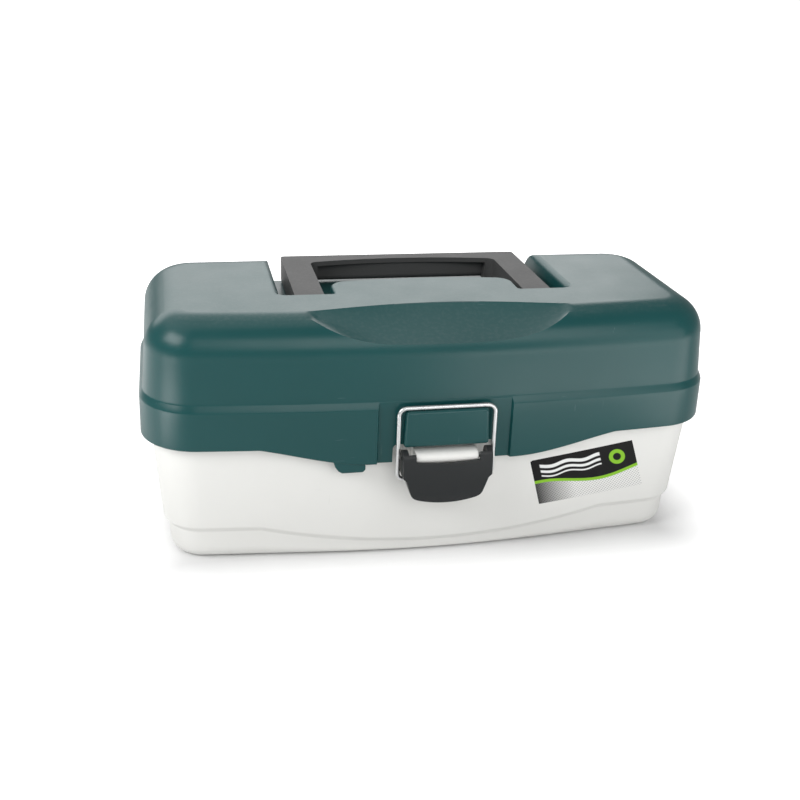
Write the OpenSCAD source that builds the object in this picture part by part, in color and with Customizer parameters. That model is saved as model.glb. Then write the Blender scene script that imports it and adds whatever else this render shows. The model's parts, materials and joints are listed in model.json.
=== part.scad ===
// Tackle box: a tapered tub, a hinged lid with a folding handle, a wire latch and one cantilever tray.
// Millimetres, +Z up, front towards -Y. The origin is on the ground under the middle of the box.

/* [Box] */
// Length over the lid's skirt band
body_l = 340; // [310:1:380]
// From the middle plane to the flat back, and to the front at its ends
body_half_d = 72; // [68:0.5:84]
// How far the front bulges at its middle
front_bow = 7; // [3:0.5:10]
// Plan radius of the corners of the skirt band
corner_r = 34; // [30:0.5:40]
// Height of the tub's rim above the ground
rim_h = 102; // [96:1:130]
// Wall of the tub and the lid
wall = 2.5; // [2:0.1:3]

/* [Tub] */
// How far the rim stands inside the outline of the skirt band
rim_in = 6; // [5.6:0.1:7]
// Slant of the wall from below the skirt down to the step
wall_slant = 4.1; // [2:0.1:5]
// Height of the step in the wall, at the ends of the front and round the back
step_high = 22; // [19:0.5:26]
// Height of the step at the middle of the front
step_low = 10; // [8:0.5:12]
// How far the wall steps in
step_in = 3; // [1.5:0.1:3.5]
// Radius of the rounded foot edge
foot_r = 10; // [6:0.5:11]

/* [Lid] */
// Height of the lid's top above the rim
lid_h = 49; // [47:0.5:60]
// How far the skirt band hangs below the rim
skirt_drop = 24; // [22:0.5:28]
// How far the skirt dips further towards the latch
skirt_dip = 11; // [6:0.5:13]
// Thickness of the skirt band
skirt_t = 3.2; // [3:0.1:3.4]
// How far the band rises above the rim
band_rise = 3; // [2.8:0.1:4]
// How far the band stands out from the lid's wall
band_out = 2.4; // [1.6:0.1:2.6]
// Half width of the gap in the band behind the latch
band_gap = 38.5; // [35:0.5:44]
// Slant of the lid's wall between the band and the rounded top edge
lid_slant = 2; // [1:0.1:3]
// Radius of the rounded top edge
top_r = 21.5; // [18:0.5:22]
// Half length of the hand scoop in the front top edge
scoop_half = 75; // [60:1:85]
// How far the scoop reaches back past the rounded edge
scoop_reach = 11; // [6:0.5:14]

/* [Handle] */
// Width over the handle's arms
handle_w = 157; // [140:1:165]
// Width of one arm
arm_w = 17.5; // [14:0.5:20]
// Thickness of the handle
handle_t = 15; // [12:0.5:16]
// Depth of the grip's top at its ends, front to back
grip_d = 14.5; // [12:0.5:18]
// Depth of the bar under the grip's top
grip_bar = 8.5; // [7:0.5:9]
// From the handle's hinge to the back of the grip
handle_reach = 82; // [76:0.5:83]
// How deep the handle's top lies below the lid's top
handle_sink = 3; // [1:0.5:4]
// Diameter of the handle's pins
handle_pin_d = 6; // [4:0.5:7]

/* [Latch] */
// Width of the lever at its ears
lever_w = 52; // [48:0.5:54]
// Length of the lever below its pin
lever_len = 27.5; // [25:0.5:32]
// Diameter of the bail's wire
wire_d = 2.5; // [2:0.1:2.6]
// Diameter of the latch pin
latch_pin_d = 3; // [2.5:0.1:3.2]
// Height of the catch block on the lid
catch_h = 22; // [18:0.5:22.5]
// Width of the boss on the tub that carries the lever
boss_w = 36.4; // [32:0.1:38]

/* [Hinge] */
// Diameter of the hinge pins at the back
hinge_pin_d = 4; // [3:0.5:5]
// Distance of each hinge from the middle of the box
hinge_x = 100; // [80:1:120]
// Length of the tub's knuckle in each hinge
knuckle_l = 19; // [14:0.5:24]

/* [Tray] */
// Height of the tray
tray_h = 32; // [24:0.5:33]
// Depth of the tray in front of its pins
tray_front = 82; // [70:0.5:82]
// Depth of the tray behind its pins
tray_back = 26; // [16:0.5:26]
// Wall of the tray
tray_wall = 2; // [1.6:0.1:2.4]
// Thickness of the arms
link_t = 3; // [2.5:0.1:3.2]
// Diameter of the arms' round ends
link_w = 10; // [9:0.5:11]
// Width of the arms between their ends
link_bar = 8; // [6:0.5:8.5]
// Diameter of the pins of the tray and its arms
link_pin_d = 4; // [3:0.2:4.4]
// Thickness of the removable dividers
divider_t = 1.6; // [1.2:0.1:2]

/* [Fits] */
// Gap between pieces that move past each other
run_gap = 0.3; // [0.25:0.05:0.4]
// Radial clearance of a pin that turns in its hole
pin_fit = 0.05; // [0.03:0.01:0.08]
// Radial clearance of a pin that is fixed in its hole
fixed_fit = 0.01; // [0.01:0.01:0.03]
// Radial clearance at the pivot between arm and tray, which closes the linkage
loose_fit = 0.3; // [0.25:0.05:0.4]

/* [Hidden] */

$fn = 48;
tub_colour = "#e6e6e2";
lid_colour = "#3d6663";
dark_colour = "#48494a";
lever_colour = "#2f3031";
metal_colour = "#c9ccce";
tray_colour = "#d9dad6";

// Levels of the lid
top_z = rim_h + lid_h;
band_z = rim_h + band_rise;
skirt_z = rim_h - skirt_drop;
lid_wall_in = band_out + lid_slant;
ledge_t = 2;
ledge_in = rim_in + wall + run_gap;
band_edge = 2;
gap_edge = 1;
gap_in = 2;
wave_out = 105;
wave_in = 42;
tab_x = -53.5;
tab_w = 15;
tab_drop = 5.5;
tab_r = 2;
tab_back = 0.6;

// Scoop in the lid's edge: angle on the round where it starts, at the middle and at its ends
scoop_low_angle = 20.6;
scoop_end_angle = 64;
scoop_fade = 8;
scoop_sag = 1.2;
low_steps = 3;
edge_steps = 6;

// Levels of the tub
shoulder_z = skirt_z - 4;
shoulder_in = rim_in + 0.3;
step_half = 1.5;
step_top_in = shoulder_in + wall_slant;
step_foot_in = step_top_in + step_in;
foot_in = step_foot_in + 0.4;
step_wave = 105;
inner_foot_r = foot_r - wall;
foot_turn = 22.5;

// Outline of the skirt band in plan, as points with outward normals
half_l = body_l/2;
bow_x0 = half_l - corner_r;
bow_angle = atan(2*front_bow/bow_x0);
bow_x = bow_x0 + corner_r*sin(bow_angle);
corner_steps = 5;
gap_steps = 3;
wave_steps = 9;

// Latch: lever pin, and the bail's pivot on the lever
front_y = -(body_half_d + front_bow);
lever_y = front_y - 4.5;
lever_z = skirt_z - 5.5;
bail_dy = 2;
bail_dz = -13.5;
ear_r = 5.2;
notch_h = -0.8;
notch_bow = 1.1;
plate_t = 1.6;
flange_t = 3.2;
lever_rim = 1.6;
lever_bulge = 0.7;
lever_tuck = 1.2;
foot_turn_in = 0.82;
lever_foot_w = 42;
lever_bow = 4;
lever_corner = 2;
lever_step = bail_dz + 3.5;
lever_step_in = 2;
boss_r = ear_r - plate_t - run_gap;
boss_drop = 5.5;
catch_w = lever_w - 2;
catch_z = lever_z + ear_r + 0.8;
catch_y = front_y - 4;
catch_slant = 1.2;
catch_r = 2;
bail_play = 1.6;
bail_w = catch_w + 2*bail_play + wire_d;
bail_bend = 4.5;
tip_bend = 3.2;
bar_y = front_y - 1.5;
bar_z = catch_z + catch_h + 0.35 + wire_d/2;
bail_len = norm([bar_y - lever_y - bail_dy, bar_z - lever_z - bail_dz]);
bail_tilt = atan((bar_y - lever_y - bail_dy)/(bar_z - lever_z - bail_dz));
bail_tip = 8;
notch_w = bail_w + wire_d + 2;

// Back hinge
hinge_y = body_half_d + 2;
hinge_z = skirt_z - 1.5;
knuckle_r = hinge_pin_d/2 + 2.5;
lid_knuckle_l = 8;
gusset_h = 16;
hinge_pin_l = knuckle_l + 2*lid_knuckle_l + 2*run_gap;

// Handle and its pocket in the lid
handle_top = top_z - handle_sink;
handle_z = handle_top - handle_t/2;
handle_y = -13;
pocket_gap = 8.5;
pocket_w = handle_w + 2*pocket_gap;
pocket_floor = handle_top - handle_t - 1;
pocket_front = handle_y - handle_t/2 - 1.7;
pocket_r = 8;
handle_in = handle_w/2 - arm_w;
tongue_w = 2*handle_in - 10;
tongue_r = 9;
tongue_back = 3;
tongue_arch = 3.1;
handle_corner_r = 2.5;
handle_inner_r = 5;
grip_arch = 5;
grip_lip = 3;
grip_round = 4;
pin_depth = 0.7*arm_w;
handle_pin_head = 3;

// Linkage: the lid carries the tray at tray_pin, the tub carries the arms at arm_pin,
// and arm and tray meet at link_pin, so hinge, tray_pin, link_pin and arm_pin form a parallelogram
link_back = 50;
link_up = 12;
pair_forward = 44;
pair_up = 6;
tray_pin = [hinge_y - link_back, hinge_z + link_up];
arm_pin = [hinge_y - pair_forward, hinge_z + pair_up];
link_pin = tray_pin + arm_pin - [hinge_y, hinge_z];
head_r = link_pin_d/2 + 2;
head_t = 1.2;
lug_t = 3;
lug_r = 5.5;
lug_head_h = 12;
lug_root_z = rim_h + 4;

// Layers from the tray's end out to the tub's end wall
tray_end = half_l - 20;
lug_x = tray_end + 2*run_gap;
link_x = lug_x + lug_t + head_t + 2*run_gap + 0.2;
link_head_x = link_x + link_t + run_gap;
arm_boss_r = 5;
arm_boss_end = half_l - shoulder_in - wall/2;
tray_boss_t = 4;

// Tray
tray_z = tray_pin[1] - 6.5;
tray_y0 = tray_pin[0] - tray_front;
tray_y1 = tray_pin[0] + tray_back;
tray_r = 12;
row_y = tray_y0 + 0.52*(tray_y1 - tray_y0);
rear_wall_x = 50;
divider_x = [-75, 0, 75];
rear_divider_x = 100;
divider_drop = 4;
guide_t = 1.2;
guide_d = 2;

function clamp(t) = min(max(t, 0), 1);
function mix(a, b, t) = a + (b - a)*t;
function smooth(t) = t*t*(3 - 2*t);
function same(v) = function (x) v;
function mirrored(points) = [for (i = [len(points) - 1:-1:0]) [-points[i][0], points[i][1]]];

// Plan outline: each entry is point, outward normal and the front position that the waves follow
half_xs = concat([for (i = [0:gap_steps]) band_gap*i/gap_steps],
    [for (i = [0:wave_steps]) mix(band_gap + gap_edge, bow_x, i/wave_steps)]);
front_xs = concat([for (i = [len(half_xs) - 1:-1:1]) -half_xs[i]], half_xs);
function bow_y(x) = -(body_half_d + front_bow*(1 - pow(x/bow_x, 2)));
function bow_normal(x) = let (m = 2*front_bow*x/pow(bow_x, 2)) [m, -1]/norm([m, -1]);
function corner(cx, cy, a0, a1, skip) = [for (i = [skip:corner_steps])
    let (a = mix(a0, a1, i/corner_steps), n = [cos(a), sin(a)]) [[cx, cy] + corner_r*n, n, half_l]];
front_corner_y = -body_half_d + corner_r*cos(bow_angle);
back_corner_y = body_half_d - corner_r;
front_left = corner(-bow_x0, front_corner_y, 180, 270 - bow_angle, 0);
outline = concat([for (x = front_xs) [[x, bow_y(x)], bow_normal(x), x]],
    corner(bow_x0, front_corner_y, -90 + bow_angle, 0, 1), corner(bow_x0, back_corner_y, 0, 90, 0),
    corner(-bow_x0, back_corner_y, 90, 180, 0), [for (i = [0:corner_steps - 1]) front_left[i]]);

// One level of a shell: the outline moved in by inset, at height z, both functions of the front position
function ring(inset, z) = [for (p = outline)
    [p[0][0] - inset(p[2])*p[1][0], p[0][1] - inset(p[2])*p[1][1], z(p[2])]];

// Solid skinned through a stack of rings
module loft(rings) {
    n = len(rings[0]);
    k = len(rings);
    sides = [for (j = [0:k - 2], i = [0:n - 1]) each [
        [j*n + i, (j + 1)*n + i, (j + 1)*n + (i + 1)%n],
        [j*n + i, (j + 1)*n + (i + 1)%n, j*n + (i + 1)%n]]];
    first = [for (i = [0:n - 1]) i];
    last = [for (i = [n - 1:-1:0]) (k - 1)*n + i];
    polyhedron([for (r = rings) each r], concat([first], sides, [last]), convexity = 10);
}

// Rod along X between two positions
module rod_x(x0, x1, y, z, r) {
    translate([min(x0, x1), y, z]) rotate([0, 90, 0]) cylinder(h = abs(x1 - x0), r = r);
}

// Flat shape given in the YZ plane, drawn out along X
module draw_x(x0, x1) {
    translate([min(x0, x1), 0, 0]) rotate([90, 0, 90]) linear_extrude(abs(x1 - x0)) children();
}

// Flat shape given in the XZ plane, drawn out along Y
module draw_y(y0, y1) {
    translate([0, y1, 0]) rotate([90, 0, 0]) linear_extrude(y1 - y0) children();
}

// Tub

function step_z(x) = mix(step_low, step_high, min(1, pow(x/step_wave, 2)));
function foot_share(x) = (step_z(x) - step_half)/(step_high - step_half);
function floor_share(x) = (step_z(x) - step_half - wall)/(step_high - step_half - wall);

module tub_shell() {
    foot = [for (a = [0:foot_turn:90]) ring(same(foot_in + foot_r*(1 - sin(a))),
        function (x) foot_r*(1 - cos(a))*foot_share(x))];
    inside = [for (a = [90:-foot_turn:0]) ring(same(foot_in + wall + inner_foot_r*(1 - sin(a))),
        function (x) wall + inner_foot_r*(1 - cos(a))*floor_share(x))];
    loft(concat(foot, [
        ring(same(step_foot_in), function (x) step_z(x) - step_half),
        ring(same(step_top_in), function (x) step_z(x) + step_half),
        ring(same(shoulder_in), same(shoulder_z)),
        ring(same(rim_in), same(rim_h)),
        ring(same(rim_in + wall), same(rim_h)),
        ring(same(shoulder_in + wall), same(shoulder_z)),
        ring(same(step_top_in + wall), function (x) step_z(x) + step_half + wall),
        ring(same(step_foot_in + wall), function (x) step_z(x) - step_half/2)], inside));
}

module latch_boss() {
    draw_x(-boss_w/2, boss_w/2) translate([lever_y, lever_z]) {
        circle(boss_r);
        translate([0, -boss_drop])
            square([front_y + shoulder_in + wall/2 - lever_y, boss_r + boss_drop]);
    }
}

// Knuckle of the tub at one back hinge, on a bracket that reaches out under the skirt
module tub_knuckle(x) {
    wall_y = body_half_d - shoulder_in - wall/2;
    draw_x(x - knuckle_l/2, x + knuckle_l/2) translate([hinge_y, hinge_z]) {
        circle(knuckle_r);
        polygon([[0, 1], [wall_y - hinge_y, 1], [wall_y - hinge_y, -gusset_h], [0, -knuckle_r]]);
    }
}

module tub() {
    color(tub_colour) difference() {
        union() {
            tub_shell();
            latch_boss();
            for (side = [-1, 1]) {
                tub_knuckle(side*hinge_x);
                rod_x(side*link_head_x, side*arm_boss_end, arm_pin[0], arm_pin[1], arm_boss_r);
            }
        }
        rod_x(-lever_w, lever_w, lever_y, lever_z, latch_pin_d/2 + fixed_fit);
        for (side = [-1, 1]) {
            rod_x(side*(hinge_x - hinge_pin_l), side*(hinge_x + hinge_pin_l), hinge_y, hinge_z,
                hinge_pin_d/2 + fixed_fit);
            rod_x(side*link_x, side*arm_boss_end, arm_pin[0], arm_pin[1], link_pin_d/2 + fixed_fit);
        }
    }
}

// Lid

function dip(x) = let (t = clamp((wave_out - abs(x))/(wave_out - wave_in))) t*(1 + t - t*t);
function skirt_edge(x) = skirt_z - skirt_dip*dip(x);
function band_in(x) = abs(x) < band_gap + gap_edge/2 ? gap_in : 0;
function scoop_share(x) = smooth(clamp((scoop_half + scoop_fade/2 - abs(x))/scoop_fade));
function scoop_start(x) = mix(scoop_low_angle, scoop_end_angle, pow(min(abs(x)/scoop_half, 1), 4));
function scoop_back(x) = scoop_reach*pow(max(0, 1 - pow(x/scoop_half, 2)), 1.2);

// Rounded top edge at an angle, for the outer face and, one wall further in, the inner face
function edge_arc(a, skin) = [lid_wall_in + skin + (top_r - skin)*(1 - cos(a)),
    top_z - top_r + (top_r - skin)*sin(a)];

// Step k across the top edge: up the round to where the scoop starts, then over the scoop to the flat top
function edge_point(x, k, skin) = let (start = scoop_start(x))
    k <= low_steps ? edge_arc(start*k/low_steps, skin) : let (
        t = (k - low_steps)/(edge_steps - low_steps),
        flat = [lid_wall_in + top_r + scoop_back(x), top_z - skin],
        hollow = mix(edge_arc(start, skin), flat, t) - [0, 4*scoop_sag*t*(1 - t)])
        mix(edge_arc(mix(start, 90, t), skin), hollow, scoop_share(x));
function edge_ring(k, skin) = ring(function (x) edge_point(x, k, skin)[0],
    function (x) edge_point(x, k, skin)[1]);

function lid_outside() = concat([
    ring(function (x) band_in(x), function (x) skirt_edge(x)),
    ring(function (x) max(band_in(x), 0.17*band_out), same(band_z - band_edge)),
    ring(function (x) max(band_in(x), 0.46*band_out), same(band_z - 0.3*band_edge)),
    ring(same(band_out), same(band_z))], [for (k = [0:edge_steps]) edge_ring(k, 0)]);

function lid_inside() = concat([for (k = [edge_steps:-1:0]) edge_ring(k, wall)], [
    ring(same(band_out + wall), same(rim_h + run_gap + ledge_t + ledge_in - band_out - wall)),
    ring(same(ledge_in), same(rim_h + run_gap + ledge_t)),
    ring(same(ledge_in), same(rim_h + run_gap)),
    ring(same(skirt_t), same(rim_h + run_gap)),
    ring(same(skirt_t), function (x) skirt_edge(x))]);

// Plan with round rear corners and an arched rear edge
module arched_plan(half, front, back, r, arch) {
    side = [for (a = [0:15:90]) [half - r + r*cos(a), back - r + r*sin(a)]];
    crown = [for (i = [1:9]) let (t = mix(1, -1, i/10)) [(half - r)*t, back + arch*(1 - t*t)]];
    polygon(concat([[half, front]], side, crown, mirrored(side), [[-half, front]]));
}

// Tongue of the lid between the handle's arms
module tongue_plan(grow) {
    arched_plan(tongue_w/2 + grow, pocket_front - 2*wall, tongue_back + grow, tongue_r, tongue_arch);
}

// Plan of the U-shaped pocket for the handle, open at the back
module pocket_plan(grow) {
    w = pocket_w/2 + grow;
    r = pocket_r + grow;
    difference() {
        union() {
            for (side = [-1, 1]) translate([side*(w - r), pocket_front - grow + r]) circle(r);
            translate([-w, pocket_front - grow + r]) square([2*w, 2*body_half_d]);
            translate([-w + r, pocket_front - grow]) square([2*(w - r), r + 1]);
        }
        tongue_plan(-grow);
    }
}

// Walls round the pocket, rooted in the middle of the lid's skin
module pocket_walls() {
    intersection() {
        loft(concat([ring(same(band_out + wall/2), same(band_z))],
            [for (k = [0:edge_steps]) edge_ring(k, wall/2)]));
        translate([0, 0, pocket_floor - wall]) linear_extrude(lid_h)
            pocket_plan(wall);
    }
}

// Catch block that the bail hooks over
module catch_block() {
    half = catch_w/2;
    head = half - catch_slant - catch_r;
    front = catch_y + catch_r;
    back = front_y + gap_in + wall/2;
    crown = [for (a = [0:15:90]) [head + catch_r*cos(a), catch_z + catch_h - catch_r + catch_r*sin(a)]];
    nose = [for (a = [0:15:90]) [half - catch_r + catch_r*cos(a), front - catch_r*sin(a)]];
    intersection() {
        draw_y(catch_y, back) polygon(concat([[-half, catch_z], [half, catch_z]], crown, mirrored(crown)));
        translate([0, 0, catch_z]) linear_extrude(catch_h)
            polygon(concat([[-half, back], [half, back]], nose, mirrored(nose)));
    }
}

// Small lift tab under the skirt, left of the latch
module lift_tab() {
    y = bow_y(tab_x);
    draw_y(y + tab_back, y + skirt_t - tab_back/3)
        translate([tab_x - tab_w/2, skirt_edge(tab_x) - tab_drop]) {
            translate([0, tab_r]) square([tab_w, tab_drop + tab_r/2]);
            translate([tab_r, 0]) square([tab_w - 2*tab_r, tab_drop]);
            for (x = [tab_r, tab_w - tab_r]) translate([x, tab_r]) circle(tab_r);
        }
}

// Two knuckles of the lid at one back hinge, on gussets behind the skirt
module lid_knuckles(x) {
    for (side = [-1, 1]) {
        x0 = x + side*(knuckle_l/2 + run_gap);
        draw_x(x0, x0 + side*lid_knuckle_l) translate([hinge_y, hinge_z]) {
            circle(knuckle_r);
            polygon([[-4, 0], [knuckle_r, 0], [-1.6, gusset_h], [-4, gusset_h]]);
        }
    }
}

// Lug that hangs from the lid's end wall down beside the tray
module tray_lug(side) {
    lug_end = half_l - band_out - wall/2;
    lug_top = lug_root_z + lug_head_h;
    draw_x(side*lug_x, side*(lug_x + lug_t)) {
        translate(tray_pin) circle(lug_r);
        translate([tray_pin[0] - lug_r, tray_pin[1]]) square([2*lug_r, lug_top - tray_pin[1]]);
    }
    draw_x(side*lug_x, side*lug_end)
        translate([tray_pin[0] - lug_r, lug_root_z]) square([2*lug_r, lug_head_h]);
}

module lid() {
    color(lid_colour) difference() {
        union() {
            loft(concat(lid_inside(), lid_outside()));
            pocket_walls();
            catch_block();
            lift_tab();
            for (side = [-1, 1]) {
                lid_knuckles(side*hinge_x);
                tray_lug(side);
            }
        }
        translate([0, 0, pocket_floor]) linear_extrude(lid_h) pocket_plan(0);
        translate([-notch_w/2, catch_y - 1, 0]) cube([notch_w, 4 + skirt_t + 3, catch_z]);
        for (side = [-1, 1]) {
            translate([side*hinge_x - knuckle_l/2 - run_gap, body_half_d - skirt_t - 1, 0])
                cube([knuckle_l + 2*run_gap, skirt_t + 2*knuckle_r, hinge_z + knuckle_r + run_gap]);
            rod_x(side*(hinge_x - hinge_pin_l), side*(hinge_x + hinge_pin_l), hinge_y, hinge_z,
                hinge_pin_d/2 + pin_fit);
            rod_x(side*(lug_x - 1), side*(lug_x + lug_t + 1), tray_pin[0], tray_pin[1],
                link_pin_d/2 + pin_fit);
            rod_x(side*(tongue_w/2 - wall - 1), side*(tongue_w/2 + 1), handle_y, handle_z,
                handle_pin_d/2 + fixed_fit);
        }
    }
}

// Handle

// Plan of the folded handle: two arms and a grip whose front edge is arched
module handle_plan() {
    back = handle_y + handle_reach;
    difference() {
        union() {
            for (side = [-1, 1])
                translate([side*(handle_w/2 - handle_corner_r), back - handle_corner_r])
                    circle(handle_corner_r);
            translate([-handle_w/2, handle_y - handle_t])
                square([handle_w, handle_reach + handle_t - handle_corner_r]);
            translate([-handle_w/2 + handle_corner_r, handle_y])
                square([handle_w - 2*handle_corner_r, handle_reach]);
        }
        arched_plan(handle_in, handle_y - 2*handle_t, back - grip_d, handle_inner_r, grip_arch);
    }
}

// Side view of the handle: round at its hinge, with a rounded grip
module handle_side() {
    low = handle_z - handle_t/2;
    translate([handle_y, handle_z]) circle(handle_t/2);
    translate([handle_y, low]) square([handle_reach - grip_round, handle_t]);
    translate([handle_y, low + grip_round]) square([handle_reach, handle_t - grip_round]);
    translate([handle_y + handle_reach - grip_round, low + grip_round]) circle(grip_round);
}

// Side view of the room under the grip's lip, in front of its round bar
module finger_room() {
    front = handle_y + handle_reach - grip_bar;
    low = handle_z - handle_t/2;
    difference() {
        translate([front - grip_d, low - grip_round])
            square([grip_d + grip_round, handle_t - grip_lip + grip_round]);
        translate([front, low + grip_round]) square([grip_bar, handle_t]);
        translate([front + grip_round, low + grip_round]) circle(grip_round);
        translate([front + grip_round, low - 2*grip_round]) square([grip_bar, 2*handle_t]);
    }
}

module handle() {
    color(dark_colour) difference() {
        intersection() {
            translate([0, 0, handle_z - handle_t]) linear_extrude(2*handle_t) handle_plan();
            draw_x(-handle_w, handle_w) handle_side();
        }
        draw_x(-handle_in + handle_inner_r, handle_in - handle_inner_r) finger_room();
        for (side = [-1, 1])
            rod_x(side*(handle_in - 1), side*(handle_in + pin_depth + 0.5), handle_y, handle_z,
                handle_pin_d/2 + pin_fit);
    }
}

// Pin with a head inside the tongue, through its side wall into the handle's arm
module handle_pin(side) {
    head_x = tongue_w/2 - wall;
    color(dark_colour) {
        rod_x(side*head_x, side*(handle_in + pin_depth), handle_y, handle_z, handle_pin_d/2);
        rod_x(side*(head_x - handle_pin_head), side*head_x, handle_y, handle_z, handle_pin_d/2 + 1.5);
    }
}
module handle_pin_left() { handle_pin(-1); }
module handle_pin_right() { handle_pin(1); }

module hinge_pin(side) {
    color(metal_colour) rod_x(side*hinge_x - hinge_pin_l/2, side*hinge_x + hinge_pin_l/2, hinge_y, hinge_z,
        hinge_pin_d/2);
}
module hinge_pin_left() { hinge_pin(-1); }
module hinge_pin_right() { hinge_pin(1); }

// Latch

// Front view of the lever: a step at the bail's pivot and a taper to the curved foot
module lever_front(inset) {
    top_w = lever_w/2 - inset;
    foot_w = lever_foot_w/2 - inset;
    side = [[top_w, 2*ear_r], [top_w, lever_step], [top_w - lever_step_in, lever_step - lever_step_in]];
    edge = [for (i = [0:16]) let (t = mix(1, -1, i/16))
        [foot_w*t, lever_bow*pow(t, 2) + lever_corner*pow(t, 16) - lever_len]];
    polygon(concat(side, edge, mirrored(side)));
}

// Front view of the notch that shows the boss between the ears
module lever_notch() {
    ear_x = boss_w/2 + 1.3*run_gap;
    edge = [for (i = [0:8]) let (t = mix(1, -1, i/8)) [ear_x*t, notch_h - notch_bow*(1 - t*t)]];
    polygon(concat([[-ear_x, 3*ear_r], [ear_x, 3*ear_r]], edge));
}

// Side view of the lever: ears round the pin, a shallow bulge in front, flanges behind that hold the bail
module lever_side() {
    back = bail_dy + wire_d/2 + lever_rim;
    turn_z = -foot_turn_in*lever_len;
    circle(ear_r);
    polygon([[-ear_r, -lever_rim/2], [-ear_r - lever_bulge, turn_z/2], [-ear_r, turn_z],
        [-ear_r + lever_tuck, -lever_len], [-ear_r + lever_tuck + plate_t, -lever_len],
        [-ear_r + lever_tuck + plate_t, turn_z], [back, bail_dz - wire_d - lever_rim],
        [back, bail_dz + wire_d], [ear_r - lever_rim/4, -lever_rim/2]]);
}

// Hollow behind the lever's front plate, in side view
module lever_hollow_side() {
    plate = plate_t - ear_r;
    translate([plate, -foot_turn_in*lever_len]) square([3*ear_r, 3*ear_r + foot_turn_in*lever_len]);
}

module latch_lever() {
    color(lever_colour) translate([0, lever_y, lever_z]) difference() {
        intersection() {
            draw_y(-3*ear_r, 3*ear_r) lever_front(0);
            draw_x(-lever_w, lever_w) lever_side();
        }
        intersection() {
            draw_y(-2*ear_r, 2*ear_r) lever_front(flange_t);
            draw_x(-lever_w/2, lever_w/2) lever_hollow_side();
        }
        draw_y(-3*ear_r, 3*ear_r) lever_notch();
        rod_x(-lever_w, lever_w, 0, 0, latch_pin_d/2 + pin_fit);
        rod_x(-lever_w, lever_w, bail_dy, bail_dz, wire_d/2 + pin_fit);
    }
}

// Quarter bend of the bail's wire about a centre in the XZ plane
module wire_bend(x, z, r, turn) {
    translate([x, 0, z]) rotate([90, 0, 0]) rotate([0, 0, turn]) rotate_extrude(angle = 90)
        translate([r, 0]) circle(wire_d/2);
}

// Bent wire bail: a top bar, two round bends, two legs and two tips that turn into the lever
module latch_bail() {
    r = wire_d/2;
    leg_x = bail_w/2;
    color(metal_colour) translate([0, lever_y + bail_dy, lever_z + bail_dz]) rotate([-bail_tilt, 0, 0]) {
        rod_x(-leg_x + bail_bend, leg_x - bail_bend, 0, bail_len, r);
        for (side = [-1, 1]) {
            translate([side*leg_x, 0, tip_bend]) cylinder(h = bail_len - bail_bend - tip_bend, r = r);
            rod_x(side*(leg_x - tip_bend), side*(leg_x - bail_tip), 0, 0, r);
            wire_bend(side*(leg_x - bail_bend), bail_len - bail_bend, bail_bend, side > 0 ? 0 : 90);
            wire_bend(side*(leg_x - tip_bend), tip_bend, tip_bend, side > 0 ? 270 : 180);
        }
    }
}

module latch_pin() {
    color(metal_colour) rod_x(-lever_w/2 + 0.5, lever_w/2 - 0.5, lever_y, lever_z, latch_pin_d/2);
}

// Tray and linkage

// Plan of the tray's outside, moved in by inset
module tray_plan(inset) {
    r = tray_r - inset;
    x = tray_end - inset;
    for (side = [-1, 1], y = [tray_y0 + tray_r, tray_y1 - tray_r]) translate([side*(x - r), y]) circle(r);
    translate([-x, tray_y0 + tray_r]) square([2*x, tray_y1 - tray_y0 - 2*tray_r]);
    translate([-x + r, tray_y0 + inset]) square([2*(x - r), tray_y1 - tray_y0 - 2*inset]);
}

// Two thin guides on each side wall of a row, which hold a divider between them
module divider_guides(x, y0, y1) {
    for (side = [-1, 1], y = [y0, y1 - guide_d])
        translate([x + side*(divider_t/2 + run_gap + guide_t/2) - guide_t/2, y, tray_z + tray_wall/2])
            cube([guide_t, guide_d, tray_h - divider_drop]);
}

module tray() {
    row_y1 = row_y + tray_wall;
    front_in = tray_y0 + tray_wall;
    back_in = tray_y1 - tray_wall;
    color(tray_colour) difference() {
        union() {
            difference() {
                translate([0, 0, tray_z]) linear_extrude(tray_h) tray_plan(0);
                translate([0, 0, tray_z + tray_wall]) linear_extrude(tray_h) tray_plan(tray_wall);
            }
            translate([-tray_end + tray_wall/2, row_y, tray_z + tray_wall/2])
                cube([2*tray_end - tray_wall, tray_wall, tray_h - divider_drop]);
            for (side = [-1, 1]) {
                translate([side*rear_wall_x - tray_wall/2, row_y + tray_wall/2, tray_z + tray_wall/2])
                    cube([tray_wall, back_in - row_y, tray_h - divider_drop]);
                for (pin = [tray_pin, link_pin])
                    rod_x(side*(tray_end - tray_wall/2), side*(tray_end - tray_boss_t),
                        pin[0], pin[1], head_r);
            }
            for (x = divider_x) divider_guides(x, front_in - 0.5, row_y + 0.5);
            divider_guides(rear_divider_x, row_y1 - 0.5, back_in + 0.5);
        }
        for (side = [-1, 1], pin = [tray_pin, link_pin])
            rod_x(side*(tray_end - tray_boss_t - 1), side*(tray_end + 1), pin[0], pin[1],
                link_pin_d/2 + fixed_fit);
    }
}

// Removable divider that stands between its guides
module divider(x, y0, y1) {
    color(tray_colour) translate([x - divider_t/2, y0 + run_gap, tray_z + tray_wall])
        cube([divider_t, y1 - y0 - 2*run_gap, tray_h - divider_drop - tray_wall]);
}
module divider_1() { divider(divider_x[0], tray_y0 + tray_wall, row_y); }
module divider_2() { divider(divider_x[1], tray_y0 + tray_wall, row_y); }
module divider_3() { divider(divider_x[2], tray_y0 + tray_wall, row_y); }
module divider_4() { divider(rear_divider_x, row_y + tray_wall, tray_y1 - tray_wall); }

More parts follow.
